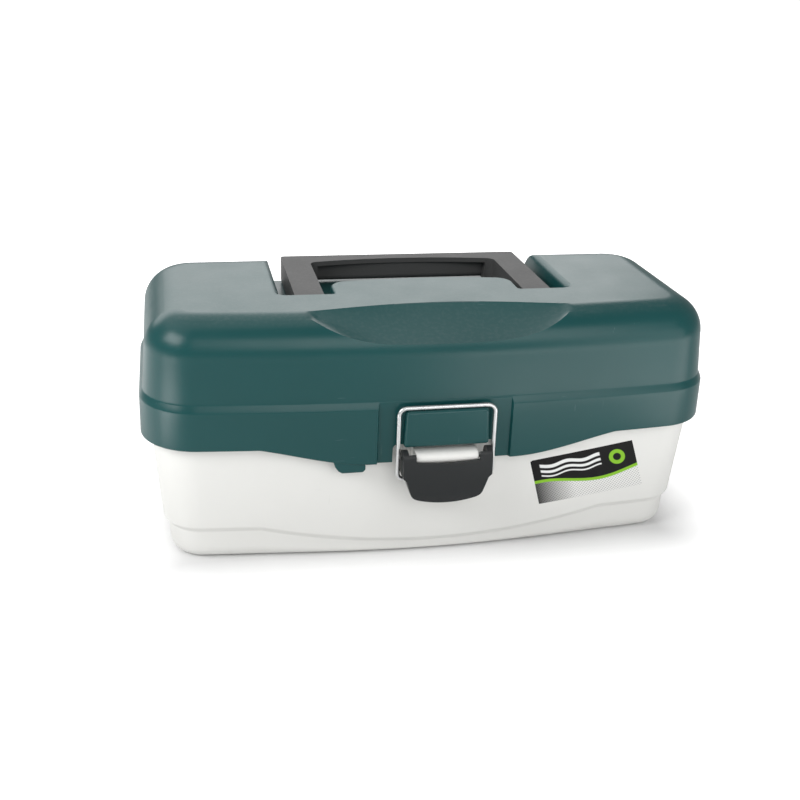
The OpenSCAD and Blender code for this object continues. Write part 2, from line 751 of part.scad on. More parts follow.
// Flat arm between the tub and the tray
module tray_arm(side) {
    span = link_pin - arm_pin;
    color(dark_colour) draw_x(side*link_x, side*(link_x + link_t)) difference() {
        union() {
            for (p = [arm_pin, link_pin]) translate(p) circle(link_w/2);
            translate(arm_pin) rotate(atan2(span[1], span[0])) translate([0, -link_bar/2])
                square([norm(span), link_bar]);
        }
        translate(arm_pin) circle(link_pin_d/2 + pin_fit);
        translate(link_pin) circle(link_pin_d/2 + loose_fit);
    }
}
module tray_arm_left() { tray_arm(-1); }
module tray_arm_right() { tray_arm(1); }

// Headed pins of the linkage
module headed_pin(root_x, head_x, head_out, at) {
    color(metal_colour) {
        rod_x(root_x, head_x, at[0], at[1], link_pin_d/2);
        rod_x(head_x, head_x + head_out*head_t, at[0], at[1], head_r);
    }
}
module arm_pin_one(side) { headed_pin(side*arm_boss_end, side*(link_x - run_gap/2), -side, arm_pin); }
module tray_pin_one(side) {
    headed_pin(side*(tray_end - tray_boss_t), side*(lug_x + lug_t + run_gap), side, tray_pin);
}
module link_pin_one(side) { headed_pin(side*(tray_end - tray_boss_t), side*link_head_x, side, link_pin); }
module arm_pin_left() { arm_pin_one(-1); }
module arm_pin_right() { arm_pin_one(1); }
module tray_pin_left() { tray_pin_one(-1); }
module tray_pin_right() { tray_pin_one(1); }
module link_pin_left() { link_pin_one(-1); }
module link_pin_right() { link_pin_one(1); }

tub();
lid();
handle();
handle_pin_left();
handle_pin_right();
hinge_pin_left();
hinge_pin_right();
latch_lever();
latch_bail();
latch_pin();
tray();
tray_arm_left();
tray_arm_right();
arm_pin_left();
arm_pin_right();
tray_pin_left();
tray_pin_right();
link_pin_left();
link_pin_right();
divider_1();
divider_2();
divider_3();
divider_4();
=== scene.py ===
# %% [markdown]
# # A moulded tackle box
# The box is two thin plastic mouldings, a handle, a wire latch and one tray on a linkage.
# The frame that is loaded here holds every piece at its real size, in metres.
# This script gives each piece its finished surface and leaves every place and joint as it is.

# %% Load the frame
import json
import math
import bmesh
import bpy
import numpy as np
from mathutils import Matrix, Vector


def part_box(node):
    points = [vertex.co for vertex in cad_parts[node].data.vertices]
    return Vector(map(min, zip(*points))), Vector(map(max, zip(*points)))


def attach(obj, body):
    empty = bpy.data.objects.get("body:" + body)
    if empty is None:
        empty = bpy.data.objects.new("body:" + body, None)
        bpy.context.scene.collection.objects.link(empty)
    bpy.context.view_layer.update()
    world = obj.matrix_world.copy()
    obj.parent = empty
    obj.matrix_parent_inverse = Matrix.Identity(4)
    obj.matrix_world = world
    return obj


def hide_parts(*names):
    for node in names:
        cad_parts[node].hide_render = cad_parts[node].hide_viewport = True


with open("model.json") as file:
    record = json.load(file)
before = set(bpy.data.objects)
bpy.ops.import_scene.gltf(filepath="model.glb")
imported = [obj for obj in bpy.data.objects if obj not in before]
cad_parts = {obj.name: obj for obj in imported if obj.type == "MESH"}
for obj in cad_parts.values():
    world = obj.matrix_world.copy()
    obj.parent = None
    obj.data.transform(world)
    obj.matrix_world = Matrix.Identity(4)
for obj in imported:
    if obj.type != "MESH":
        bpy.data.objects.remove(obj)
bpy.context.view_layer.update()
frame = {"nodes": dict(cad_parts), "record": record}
nodes = frame["nodes"]

# %% [markdown]
# ## The camera
# The box was photographed from a little left of its middle and from above.
# A camera can be aimed by hand, or worked out from the edges of a box whose size is known.
# The second way puts every edge where it was seen, so the place, the three turns and the lens are written here.

# %% Camera
MM = 0.001
CAMERA_PLACE = Vector((-148.13, -628.66, 348.79))*MM
CAMERA_YAW = math.radians(12.382)
CAMERA_PITCH = math.radians(23.264)
CAMERA_ROLL = math.radians(2.217)
CAMERA_LENS = 49.64


def add_object(name, data):
    """New object in the scene."""
    obj = bpy.data.objects.new(name, data)
    bpy.context.scene.collection.objects.link(obj)
    return obj


def aim_camera():
    """Camera whose axes come from yaw, pitch and roll."""
    forward = Vector((math.sin(CAMERA_YAW)*math.cos(CAMERA_PITCH),
                      math.cos(CAMERA_YAW)*math.cos(CAMERA_PITCH), -math.sin(CAMERA_PITCH)))
    level = Vector((math.cos(CAMERA_YAW), -math.sin(CAMERA_YAW), 0))
    upright = level.cross(forward)
    right = math.cos(CAMERA_ROLL)*level + math.sin(CAMERA_ROLL)*upright
    up = -math.sin(CAMERA_ROLL)*level + math.cos(CAMERA_ROLL)*upright
    data = bpy.data.cameras.new("camera")
    data.sensor_width = 36
    data.lens = CAMERA_LENS
    data.clip_start = 0.01
    camera = add_object("camera", data)
    turn = Matrix((right, up, -forward)).transposed().to_4x4()
    camera.matrix_world = Matrix.Translation(CAMERA_PLACE) @ turn
    bpy.context.scene.camera = camera


aim_camera()
print("camera at", tuple(round(c, 3) for c in CAMERA_PLACE), "lens", CAMERA_LENS)

# %% [markdown]
# ## Short words for shader nodes
# A finish is a small net of nodes. Each node could be placed by hand in the Shader Editor, but the same few kinds
# come back in every finish, so each kind gets one short function that places it and joins its sockets.

# %% Node tools


def new_material(name):
    """Material with its node tree and its Principled shader."""
    material = bpy.data.materials.new(name)
    material.use_nodes = True
    return material, material.node_tree, material.node_tree.nodes["Principled BSDF"]


def math_node(tree, operation, first, second):
    """Math node on two sockets or numbers; returns its output."""
    node = tree.nodes.new("ShaderNodeMath")
    node.operation = operation
    for socket, value in zip(node.inputs, (first, second)):
        if isinstance(value, (int, float)):
            socket.default_value = value
        else:
            tree.links.new(value, socket)
    return node.outputs[0]


def noise_node(tree, coordinates, scale, detail=2.0, stretch=None):
    """Noise on Object coordinates, optionally stretched along an axis; returns its value."""
    if stretch:
        mapping = tree.nodes.new("ShaderNodeMapping")
        mapping.inputs["Scale"].default_value = stretch
        tree.links.new(coordinates, mapping.inputs["Vector"])
        coordinates = mapping.outputs["Vector"]
    noise = tree.nodes.new("ShaderNodeTexNoise")
    noise.inputs["Detail"].default_value = detail
    tree.links.new(coordinates, noise.inputs["Vector"])
    if isinstance(scale, (int, float)):
        noise.inputs["Scale"].default_value = scale
    else:
        tree.links.new(scale, noise.inputs["Scale"])
    return noise.outputs["Fac"]


def range_node(tree, value, from_low, from_high, to_low, to_high):
    """Map Range with clamping; the last two may be sockets."""
    node = tree.nodes.new("ShaderNodeMapRange")
    tree.links.new(value, node.inputs["Value"])
    for name, given in (("From Min", from_low), ("From Max", from_high), ("To Min", to_low), ("To Max", to_high)):
        if isinstance(given, (int, float)):
            node.inputs[name].default_value = given
        else:
            tree.links.new(given, node.inputs[name])
    return node.outputs["Result"]


def mix_colour(tree, factor, first, second):
    """Mix of two colours, each a socket or a tuple; returns the result."""
    node = tree.nodes.new("ShaderNodeMix")
    node.data_type = "RGBA"
    tree.links.new(factor, node.inputs["Factor"])
    for name, given in (("A", first), ("B", second)):
        socket = next(s for s in node.inputs if s.name == name and s.type == "RGBA")
        if isinstance(given, tuple):
            socket.default_value = given
        else:
            tree.links.new(given, socket)
    return next(s for s in node.outputs if s.type == "RGBA")


print("node tools ready")

# %% [markdown]
# ## Light, floor and background
# Near the box the glow fades out, which paints a darker shadow round its foot.
# Soft plastic shows its form by wide, soft reflections, so the lamps are large panels and none is strong.
# The floor is pale and keeps the shadow. A share of its white is its own glow, for the eye of the camera alone,
# so the background stays white with no extra light on the box.
# Low panels lie beside the box like white cards, and only their reflections show, on its corners and its front.

# %% Light, floor and background
FLOOR_SIZE = 12.0
FLOOR_WHITE = 0.80
# Glow is nil inside this footprint and rises within 4 cm of it: painted shade round the box.
FOOTPRINT = (0.150, 0.060, 1.0)
GLOW_AND_SHADE_STEPS = ((0.0, 0.04, 0.48), (0.10, 0.6, 0.52))
WORLD_FILL = 0.29


def panel_lamp(name, place, target, width, height, power):
    """Rectangular soft lamp that faces a target."""
    data = bpy.data.lights.new(name, "AREA")
    data.shape = "RECTANGLE"
    data.size = width
    data.size_y = height
    data.energy = power
    lamp = add_object(name, data)
    lamp.location = place
    lamp.rotation_euler = (Vector(target) - Vector(place)).to_track_quat("-Z", "Y").to_euler()


def seen_directly(tree):
    """Value that is 1 for what the camera sees, also through clear things, and 0 for all other light."""
    path = tree.nodes.new("ShaderNodeLightPath")
    return math_node(tree, "MAXIMUM", path.outputs["Is Camera Ray"], path.outputs["Is Transmission Ray"])


def white_world():
    """White behind the box, and a weaker even fill on it."""
    world = bpy.data.worlds.new("world")
    world.use_nodes = True
    tree = world.node_tree
    background = tree.nodes["Background"]
    background.inputs["Color"].default_value = (1, 1, 1, 1)
    strength = range_node(tree, seen_directly(tree), 0.0, 1.0, WORLD_FILL, 1.0)
    tree.links.new(strength, background.inputs["Strength"])
    bpy.context.scene.world = world


def floor_finish():
    """Matt white whose own glow grows with the distance from the box's footprint, so the floor next to the box is
    darker: a painted shadow round its foot.
    """
    material, tree, shader = new_material("floor_white")
    shader.inputs["Base Color"].default_value = (FLOOR_WHITE, FLOOR_WHITE, FLOOR_WHITE, 1)
    shader.inputs["Roughness"].default_value = 1.0
    shader.inputs["Specular IOR Level"].default_value = 0.0
    shader.inputs["Emission Color"].default_value = (1, 1, 1, 1)
    away = tree.nodes.new("ShaderNodeTexCoord").outputs["Object"]
    steps = (("ABSOLUTE", None), ("SUBTRACT", FOOTPRINT), ("MAXIMUM", (0, 0, 0)), ("LENGTH", None))
    for operation, given in steps:
        step = tree.nodes.new("ShaderNodeVectorMath")
        step.operation = operation
        tree.links.new(away, step.inputs[0])
        if given:
            step.inputs[1].default_value = given
        away = step.outputs["Value" if operation == "LENGTH" else "Vector"]
    # No glow at the footprint paints shade round the box; far off the glow makes the floor white.
    glow = 0.0
    for near, far, share in GLOW_AND_SHADE_STEPS:
        glow = math_node(tree, "ADD", range_node(tree, away, near, far, 0.0, share), glow)
    tree.links.new(math_node(tree, "MULTIPLY", seen_directly(tree), glow), shader.inputs["Emission Strength"])
    return material


def pale_floor():
    half = FLOOR_SIZE/2
    mesh = bpy.data.meshes.new("floor")
    mesh.from_pydata([(-half, -half, 0), (half, -half, 0), (half, half, 0), (-half, half, 0)], [], [(0, 1, 2, 3)])
    mesh.materials.append(floor_finish())
    floor = add_object("floor", mesh)


white_world()
pale_floor()
panel_lamp("lamp_back", (-0.25, 1.8, 0.95), (0, 0, 0.1), 2.9, 0.85, 17)
panel_lamp("lamp_top", (-0.4, 0.6, 1.9), (0, 0, 0.08), 2.4, 2.0, 15)
panel_lamp("lamp_left", (-1.15, -0.5, 0.95), (0, 0, 0.08), 0.9, 0.6, 12)
panel_lamp("lamp_right", (1.05, -1.15, 0.3), (0, 0, 0.08), 0.9, 0.6, 2.5)
panel_lamp("lamp_front", (0.35, -1.5, 1.08), (0, 0, 0.08), 1.5, 0.95, 11)
panel_lamp("lamp_low_left", (-0.52, 0.0, 0.01), (-0.52, 0.0, 1.0), 0.46, 0.66, 0.7)
panel_lamp("lamp_low_corner", (-0.43, -0.21, 0.01), (-0.43, -0.21, 1.0), 0.2, 0.2, 0.75)
panel_lamp("lamp_low_right", (0.45, -0.50, 0.01), (0.45, -0.50, 1.0), 0.7, 0.4, 2.5)
panel_lamp("lamp_low_side", (0.52, -0.24, 0.01), (0.52, -0.24, 1.0), 0.56, 0.12, 0.7)
bpy.context.scene.view_settings.view_transform = "Standard"
print(len(bpy.data.lights), "panel lamps, world fill", WORLD_FILL)

# %% [markdown]
# ## Finishes shared by the mouldings
# A moulding is never one flat colour: the pigment is a little uneven, the surface has a fine spark-eroded grain,
# and handling leaves pale rubs. Each effect could be painted as a picture, but a picture has a fixed sharpness.
# Here each is a small node group on Object coordinates, placed in every plastic with its own values.

# %% Node groups for the finishes


def node_group(name, inputs, outputs):
    """Empty shader group with named sockets: (name, kind, value)."""
    group = bpy.data.node_groups.new(name, "ShaderNodeTree")
    for label, kind, value in inputs:
        socket = group.interface.new_socket(label, in_out="INPUT", socket_type=kind)
        socket.default_value = value
    for label, kind in outputs:
        group.interface.new_socket(label, in_out="OUTPUT", socket_type=kind)
    return group, group.nodes.new("NodeGroupInput"), group.nodes.new("NodeGroupOutput")


def make_moulded_skin():
    """Uneven pigment, a patchy gloss and a fine grain."""
    group, given, result = node_group("moulded_skin", [
        ("Colour", "NodeSocketColor", (0.5, 0.5, 0.5, 1)), ("Mottle", "NodeSocketFloat", 0.06),
        ("Roughness", "NodeSocketFloat", 0.4), ("Grain per Metre", "NodeSocketFloat", 1600.0)], [
        ("Colour", "NodeSocketColor"), ("Roughness", "NodeSocketFloat"), ("Height", "NodeSocketFloat")])
    place = group.nodes.new("ShaderNodeTexCoord").outputs["Object"]
    cloud = noise_node(group, place, 14.0, 3.0)
    bright = math_node(group, "MULTIPLY", math_node(group, "SUBTRACT", cloud, 0.5), given.outputs["Mottle"])
    vary = group.nodes.new("ShaderNodeHueSaturation")
    group.links.new(given.outputs["Colour"], vary.inputs["Color"])
    group.links.new(math_node(group, "ADD", math_node(group, "MULTIPLY", bright, 2.0), 1.0), vary.inputs["Value"])
    group.links.new(vary.outputs["Color"], result.inputs["Colour"])
    patch = math_node(group, "SUBTRACT", noise_node(group, place, 45.0, 4.0), 0.5)
    rough = math_node(group, "ADD", given.outputs["Roughness"], math_node(group, "MULTIPLY", patch, 0.10))
    group.links.new(rough, result.inputs["Roughness"])
    group.links.new(noise_node(group, place, given.outputs["Grain per Metre"], 3.0), result.inputs["Height"])
    return group


def make_handling_rubs():
    """Short pale scratches and rubbed patches, as a mask."""
    group, given, result = node_group("handling_rubs", [
        ("Amount", "NodeSocketFloat", 0.5), ("Size", "NodeSocketFloat", 60.0)], [("Mask", "NodeSocketFloat")])
    place = group.nodes.new("ShaderNodeTexCoord").outputs["Object"]
    masks = []
    for stretch in ((1.0, 1.0, 14.0), (11.0, 11.0, 1.0)):
        line = noise_node(group, place, given.outputs["Size"], 5.0, stretch)
        masks.append(range_node(group, line, 0.69, 0.76, 0.0, 1.0))
    lines = math_node(group, "MAXIMUM", masks[0], masks[1])
    where = range_node(group, noise_node(group, place, 22.0, 2.0), 0.52, 0.66, 0.0, 1.0)
    mask = math_node(group, "MULTIPLY", math_node(group, "MULTIPLY", lines, where), given.outputs["Amount"])
    group.links.new(mask, result.inputs["Mask"])
    return group


def make_dust_and_sheen():
    """Thin dust on faces that look up, as a mask; the same grey film also paints a little pale sheen on those
    faces.
    """
    group, given, result = node_group("dust_and_sheen", [("Amount", "NodeSocketFloat", 0.2)], [
        ("Mask", "NodeSocketFloat")])
    place = group.nodes.new("ShaderNodeTexCoord").outputs["Object"]
    split = group.nodes.new("ShaderNodeSeparateXYZ")
    group.links.new(group.nodes.new("ShaderNodeNewGeometry").outputs["Normal"], split.inputs[0])
    # Faces that look up turn greyer: dust, and also painted sheen on the tops.
    up = range_node(group, split.outputs["Z"], 0.75, 0.98, 0.0, 1.0)
    speck = range_node(group, noise_node(group, place, 420.0, 6.0), 0.46, 0.72, 0.15, 1.0)
    mask = math_node(group, "MULTIPLY", math_node(group, "MULTIPLY", up, speck), given.outputs["Amount"])
    group.links.new(mask, result.inputs["Mask"])
    return group


moulded_skin = make_moulded_skin()
handling_rubs = make_handling_rubs()
dust_and_sheen = make_dust_and_sheen()
print("finish groups:", [g.name for g in (moulded_skin, handling_rubs, dust_and_sheen)])

# %% [markdown]
# ## Plastics and metals
# Polypropylene is satin: a soft sheen that widens at grazing angles, over a coloured body.
# The Principled shader gives that by its roughness and index of refraction; only the grey dust on faces that look
# up also paints a little pale sheen on them.
# The wire is bright plated, and the pins are plain drawn steel.

# %% Materials
# Grey of the dust on upward faces, which also stands for part of their painted sheen.
DUST_AND_SHEEN_COLOUR = (0.42, 0.42, 0.40, 1)
DUST_MATT = 0.4
GRAIN_STRENGTH = 0.5
METAL_DULL = 0.78
METAL_STRENGTH = 0.2
METAL_DEPTH = 0.00001
# Colour, roughness, mirror, grain per metre, depth of grain, mottle, rubs, colour of rubs, dust with painted sheen
PLASTICS = {
    "tub_plastic": ((0.745, 0.745, 0.72), 0.46, 0.4, 1500, 0.00005, 0.03, 0.25, (0.62, 0.61, 0.58), 0.0),
    "lid_plastic": ((0.005, 0.057, 0.058), 0.30, 0.36, 1700, 0.00004, 0.10, 0.22, (0.20, 0.30, 0.29), 0.05),
    "handle_plastic": ((0.066, 0.066, 0.066), 0.44, 0.11, 1400, 0.00006, 0.10, 0.45, (0.16, 0.15, 0.145), 0.05),
    "lever_plastic": ((0.014, 0.016, 0.017), 0.40, 0.3, 1700, 0.00005, 0.10, 0.30, (0.13, 0.13, 0.13), 0.04),
    "tray_plastic": ((0.70, 0.70, 0.67), 0.42, 0.5, 1500, 0.00004, 0.03, 0.2, (0.55, 0.55, 0.52), 0.0),
}
# Colour, roughness, grain per metre, stretch of the grain
METALS = {
    "wire": ((0.68, 0.69, 0.69), 0.34, 900, (1.0, 1.0, 0.1)),
    "steel": ((0.56, 0.565, 0.57), 0.30, 1200, (0.1, 1.0, 1.0)),
}


def use_group(tree, group, values):
    """Places a node group and sets its inputs by name."""
    node = tree.nodes.new("ShaderNodeGroup")
    node.node_tree = group
    for name, value in values.items():
        node.inputs[name].default_value = value
    return node


def add_bump(tree, shader, height, strength, depth):
    """Fine relief from a height, for the shader's normal."""
    bump = tree.nodes.new("ShaderNodeBump")
    bump.inputs["Strength"].default_value = strength
    bump.inputs["Distance"].default_value = depth
    tree.links.new(height, bump.inputs["Height"])
    tree.links.new(bump.outputs["Normal"], shader.inputs["Normal"])


def plastic(name, colour, roughness, mirror, grain, grain_depth, mottle, rubs, rub_colour, dust):
    """Moulded plastic with grain, uneven pigment, rubs and a little dust, which also paints a pale sheen on faces
    that look up.
    """
    material, tree, shader = new_material(name)
    shader.inputs["IOR"].default_value = 1.5
    shader.inputs["Specular IOR Level"].default_value = mirror
    skin = use_group(tree, moulded_skin, {"Colour": (*colour, 1), "Mottle": mottle, "Roughness": roughness,
                                          "Grain per Metre": grain})
    rub = use_group(tree, handling_rubs, {"Amount": rubs}).outputs["Mask"]
    dust_sheen_mask = use_group(tree, dust_and_sheen, {"Amount": dust}).outputs["Mask"]
    worn = mix_colour(tree, rub, skin.outputs["Colour"], (*rub_colour, 1))
    tree.links.new(mix_colour(tree, dust_sheen_mask, worn, DUST_AND_SHEEN_COLOUR), shader.inputs["Base Color"])
    matt = math_node(tree, "MULTIPLY", dust_sheen_mask, DUST_MATT)
    tree.links.new(math_node(tree, "ADD", skin.outputs["Roughness"], matt), shader.inputs["Roughness"])
    add_bump(tree, shader, skin.outputs["Height"], GRAIN_STRENGTH, grain_depth)
    return material


def metal(name, colour, roughness, grain, stretch):
    """Metal with drawn or plated unevenness in its gloss."""
    material, tree, shader = new_material(name)
    shader.inputs["Metallic"].default_value = 1.0
    place = tree.nodes.new("ShaderNodeTexCoord").outputs["Object"]
    streak = noise_node(tree, place, grain, 4.0, stretch)
    tree.links.new(range_node(tree, streak, 0.3, 0.7, 0.7*roughness, 1.3*roughness), shader.inputs["Roughness"])
    dull = tuple(METAL_DULL*c for c in colour)
    stain = range_node(tree, streak, 0.45, 0.8, 0.0, 0.6)
    tree.links.new(mix_colour(tree, stain, (*colour, 1), (*dull, 1)), shader.inputs["Base Color"])
    add_bump(tree, shader, streak, METAL_STRENGTH, METAL_DEPTH)
    return material


materials = {name: plastic(name, *values) for name, values in PLASTICS.items()}
materials.update({name: metal(name, *values) for name, values in METALS.items()})
slot_of_node = {part["node"]: part["material_slot"] for part in frame["record"]["subparts"]}
for name, slot in slot_of_node.items():
    nodes[name].data.materials.clear()
    nodes[name].data.materials.append(materials[slot])
print("materials:", sorted(materials))

# %% [markdown]
# ## Tools for building meshes
# Both mouldings are skins stretched over rings, and every ring is the box's outline moved inwards.
# The rings could be modelled by hand with loop cuts, but a rule keeps them as smooth as the mould was.
# Cuts and added bosses are joined on with Boolean modifiers, whose result is kept as a plain mesh.

# %% Mesh tools


def piece(name, points, faces):
    """New mesh object at the origin."""
    mesh = bpy.data.meshes.new(name)
    mesh.from_pydata([tuple(p) for p in points], [], faces)
    mesh.update()
    return add_object(name, mesh)


def keep_result(obj):
    """Puts the evaluated mesh in place of the modifiers."""
    bpy.context.view_layer.update()
    found = obj.evaluated_get(bpy.context.evaluated_depsgraph_get())
    mesh = bpy.data.meshes.new_from_object(found)
    obj.modifiers.clear()
    obj.data = mesh


def loft(name, rings):
    """Closed skin over a stack of rings, with a flat cap at each end."""
    count = len(rings[0])
    faces = [[j*count + i, j*count + (i + 1) % count, (j + 1)*count + (i + 1) % count, (j + 1)*count + i]
             for j in range(len(rings) - 1) for i in range(count)]
    faces.append(list(range(count))[::-1])
    faces.append([(len(rings) - 1)*count + i for i in range(count)])
    return piece(name, np.concatenate(rings), faces)


def prism(name, outline, axis, start, end):
    """Flat outline drawn out along an axis. The outline's two numbers are the other two axes in order."""
    def place(pair, along):
        point = list(pair)
        point.insert("xyz".index(axis), along)
        return point
    count = len(outline)
    points = [place(p, start) for p in outline] + [place(p, end) for p in outline]
    faces = [[i, (i + 1) % count, count + (i + 1) % count, count + i] for i in range(count)]
    faces += [list(range(count))[::-1], list(range(count, 2*count))]
    obj = piece(name, points, faces)
    edit = bmesh.new()
    edit.from_mesh(obj.data)
    bmesh.ops.recalc_face_normals(edit, faces=edit.faces)
    edit.to_mesh(obj.data)
    edit.free()
    return obj


def arc(centre, radius, start, end, steps):
    """Points on an arc, with angles in degrees."""
    angles = np.radians(np.linspace(start, end, steps + 1))
    return [(centre[0] + radius*math.cos(a), centre[1] + radius*math.sin(a)) for a in angles]


def rod(name, x0, x1, y, z, radius, sides=48):
    """Round rod along X."""
    return prism(name, arc((y, z), radius, 0, 360*(sides - 1)/sides, sides - 1), "x", min(x0, x1), max(x0, x1))


def box(name, x0, x1, y0, y1, z0, z1):
    """Plain block between six limits."""
    return prism(name, [(y0, z0), (y1, z0), (y1, z1), (y0, z1)], "x", x0, x1)


def join(base, tool, operation):
    """Boolean of two solids; the tool is used up."""
    change = base.modifiers.new(operation, "BOOLEAN")
    change.operation = operation
    change.solver = "MANIFOLD"
    change.object = tool
    keep_result(base)
    bpy.data.objects.remove(tool)


def soften(obj, width, segments=3, angle=35):
    """Rounds every edge sharper than an angle."""
    bevel = obj.modifiers.new("soften", "BEVEL")
    bevel.width = width
    bevel.segments = segments
    bevel.limit_method = "ANGLE"
    bevel.angle_limit = math.radians(angle)
    bevel.use_clamp_overlap = True
    keep_result(obj)


def finish_shading(obj, material, angle):
    """One material, smooth faces, sharp creases and normals that follow the large faces."""
    obj.data.materials.clear()
    obj.data.materials.append(material)
    for face in obj.data.polygons:
        face.use_smooth = True
        face.material_index = 0
    obj.data.set_sharp_from_angle(angle=math.radians(angle))
    even = obj.modifiers.new("even_normals", "WEIGHTED_NORMAL")
    even.keep_sharp = True
    keep_result(obj)


def dress(obj, body, slot, *stands_for, angle=32):
    """Shades a piece in its slot's finish, rides it on a body and lets it stand for its CAD nodes."""
    finish_shading(obj, materials[slot], angle)
    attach(obj, body)
    if stands_for:
        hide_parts(*stands_for)


def mirrored(points):
    """The same points on the other side of the middle, in reverse order."""
    return [(-x, y) for x, y in points[::-1]]


def pin_line(name):
    """A pin's line in Y and Z, its radius and its two ends in X."""
    low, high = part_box(name)
    return ((low.y + high.y)/2, (low.z + high.z)/2), (high.z - low.z)/2, (low.x, high.x)


print("mesh tools ready")

# %% [markdown]
# ## The outline of the box
# Seen from above, the front bows out, the back is flat and the corners are round.
# Each point of the outline keeps the direction that it faces and its place along the front,
# because the waves of the skirt and of the tub's step are rules of that place.

# %% Outline
lid_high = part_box("lid")[1]
tub_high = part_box("tub")[1]
HALF_L = lid_high.x
HALF_D = 72*MM
FRONT_BOW = 7*MM
CORNER_R = 34*MM
WALL = 2.5*MM
RIM_Z = tub_high.z
TOP_Z = lid_high.z
BAND_GAP = 38.5*MM
GAP_EDGE = 1.0*MM
BOW_X0 = HALF_L - CORNER_R
BOW_ANGLE = math.atan(2*FRONT_BOW/BOW_X0)
BOW_X = BOW_X0 + CORNER_R*math.sin(BOW_ANGLE)


def mix(a, b, t):
    return a + (b - a)*t


def smooth(t):
    return t*t*(3 - 2*t)


def bow_y(x):
    return -(HALF_D + FRONT_BOW*(1 - (x/BOW_X)**2))


def front_facing(x):
    """Outward direction of the bowed front at a place."""
    slope = 2*FRONT_BOW*x/BOW_X**2
    size = math.hypot(slope, 1)
    return slope/size, -1/size


def front_positions():
    """Places along the front, closer together at the ends of the band."""
    inner = np.linspace(0, BAND_GAP - 0.2*MM, 30)
    edge = BAND_GAP + np.linspace(0, GAP_EDGE, 8)
    outer = np.linspace(BAND_GAP + GAP_EDGE + 0.3*MM, BOW_X, 80)
    half = np.concatenate([inner, edge, outer])
    return np.concatenate([-half[:0:-1], half])


def make_outline():
    """Points, outward directions and front places, anticlockwise from the front's left end."""
    rows = [(x, bow_y(x), *front_facing(x), x) for x in front_positions()]
    front_y = -HALF_D + CORNER_R*math.cos(BOW_ANGLE)
    back_y = HALF_D - CORNER_R
    turn = math.degrees(BOW_ANGLE)
    corners = [(BOW_X0, front_y, np.linspace(turn - 90, 0, 25)[1:]), (BOW_X0, back_y, np.linspace(0, 90, 25)),
               (-BOW_X0, back_y, np.linspace(90, 180, 25)),
               (-BOW_X0, front_y, np.linspace(180, 270 - turn, 25)[:-1])]
    runs = [(HALF_L, front_y, HALF_L, back_y, 10), (BOW_X0, HALF_D, -BOW_X0, HALF_D, 30),
            (-HALF_L, back_y, -HALF_L, front_y, 10), None]
    for (x, y, angles), run in zip(corners, runs):
        for a in np.radians(angles):
            rows.append((x + CORNER_R*math.cos(a), y + CORNER_R*math.sin(a), math.cos(a), math.sin(a), HALF_L))
        if run:
            for t in np.linspace(0, 1, run[4] + 1)[1:-1]:
                rows.append((mix(run[0], run[2], t), mix(run[1], run[3], t), *rows[-1][2:4], HALF_L))
    table = np.array(rows)
    return table[:, 0:2], table[:, 2:4], table[:, 4]


outline_at, outline_out, along = make_outline()


def ring(inset, height):
    """The outline moved inwards, at a height; both are numbers or one value for each point."""
    inset = np.broadcast_to(inset, along.shape)
    height = np.broadcast_to(height, along.shape)
    return np.column_stack([outline_at - outline_out*inset[:, None], height])


print("outline of", len(along), "points")

# %% [markdown]
# ## The tub
# The tub is a tapered tray of off-white plastic. A step runs round its wall, high at the ends and low
# at the middle of the front, and its foot is rounded. It could be a box with bevels, but the step's wave would
# have to be drawn by hand, so the wall is lofted over rings and the step's height is a rule of the front place.

# %% Tub
RIM_IN = 6*MM
SHOULDER_IN = RIM_IN + 0.3*MM
SKIRT_Z = RIM_Z - 24*MM
SHOULDER_Z = SKIRT_Z - 4*MM
STEP_HIGH = 22*MM
STEP_LOW = 10*MM
STEP_HALF = 2.5*MM
STEP_WAVE = 105*MM
STEP_TOP_IN = SHOULDER_IN + 4.1*MM
STEP_FOOT_IN = STEP_TOP_IN + 3*MM
FOOT_R = 10*MM
FOOT_IN = STEP_FOOT_IN + 0.4*MM
RIM_ROUND = 0.6*MM


def step_height(place):
    return mix(STEP_LOW, STEP_HIGH, np.minimum(1, (place/STEP_WAVE)**2))


def tub_rings():
    step = step_height(along)
    share = (step - STEP_HALF)/(STEP_HIGH - STEP_HALF)
    floor_share = (step - STEP_HALF - WALL)/(STEP_HIGH - STEP_HALF - WALL)
    turns = np.radians(np.linspace(0, 90, 11))
    rings = [ring(FOOT_IN + FOOT_R*(1 - math.sin(a)), FOOT_R*(1 - math.cos(a))*share) for a in turns]
    for t in np.linspace(0, 1, 9):
        rings.append(ring(mix(STEP_FOOT_IN, STEP_TOP_IN, smooth(t)), step + STEP_HALF*(2*t - 1)))
    for t in np.linspace(0.04, 1, 8):
        rings.append(ring(mix(STEP_TOP_IN, SHOULDER_IN, t), mix(step + STEP_HALF, SHOULDER_Z, t)))
    rings.append(ring(RIM_IN, RIM_Z - RIM_ROUND))
    for a in np.radians(np.linspace(20, 90, 4)):
        rings.append(ring(RIM_IN + RIM_ROUND*(1 - math.cos(a)), RIM_Z - RIM_ROUND*(1 - math.sin(a))))
    for a in np.radians(np.linspace(90, 0, 5)):
        rings.append(ring(RIM_IN + WALL - RIM_ROUND*(1 - math.cos(a)), RIM_Z - RIM_ROUND*(1 - math.sin(a))))
    rings.append(ring(SHOULDER_IN + WALL, SHOULDER_Z))
    rings.append(ring(STEP_TOP_IN + WALL, step + STEP_HALF + WALL))
    rings.append(ring(STEP_FOOT_IN + WALL, step - STEP_HALF/2))
    inner = FOOT_R - WALL
    for a in turns[::-1]:
        rings.append(ring(FOOT_IN + WALL + inner*(1 - math.sin(a)), WALL + inner*(1 - math.cos(a))*floor_share))
    return rings


tub = loft("tub_shell", tub_rings())
print("tub loft:", len(tub.data.polygons), "faces")

# %% [markdown]
# The tub also carries the latch's boss, two hinge knuckles on gussets behind and a boss for each tray arm.
# They are drawn as flat outlines pulled along X, as a toolmaker would cut them, and joined to the wall.

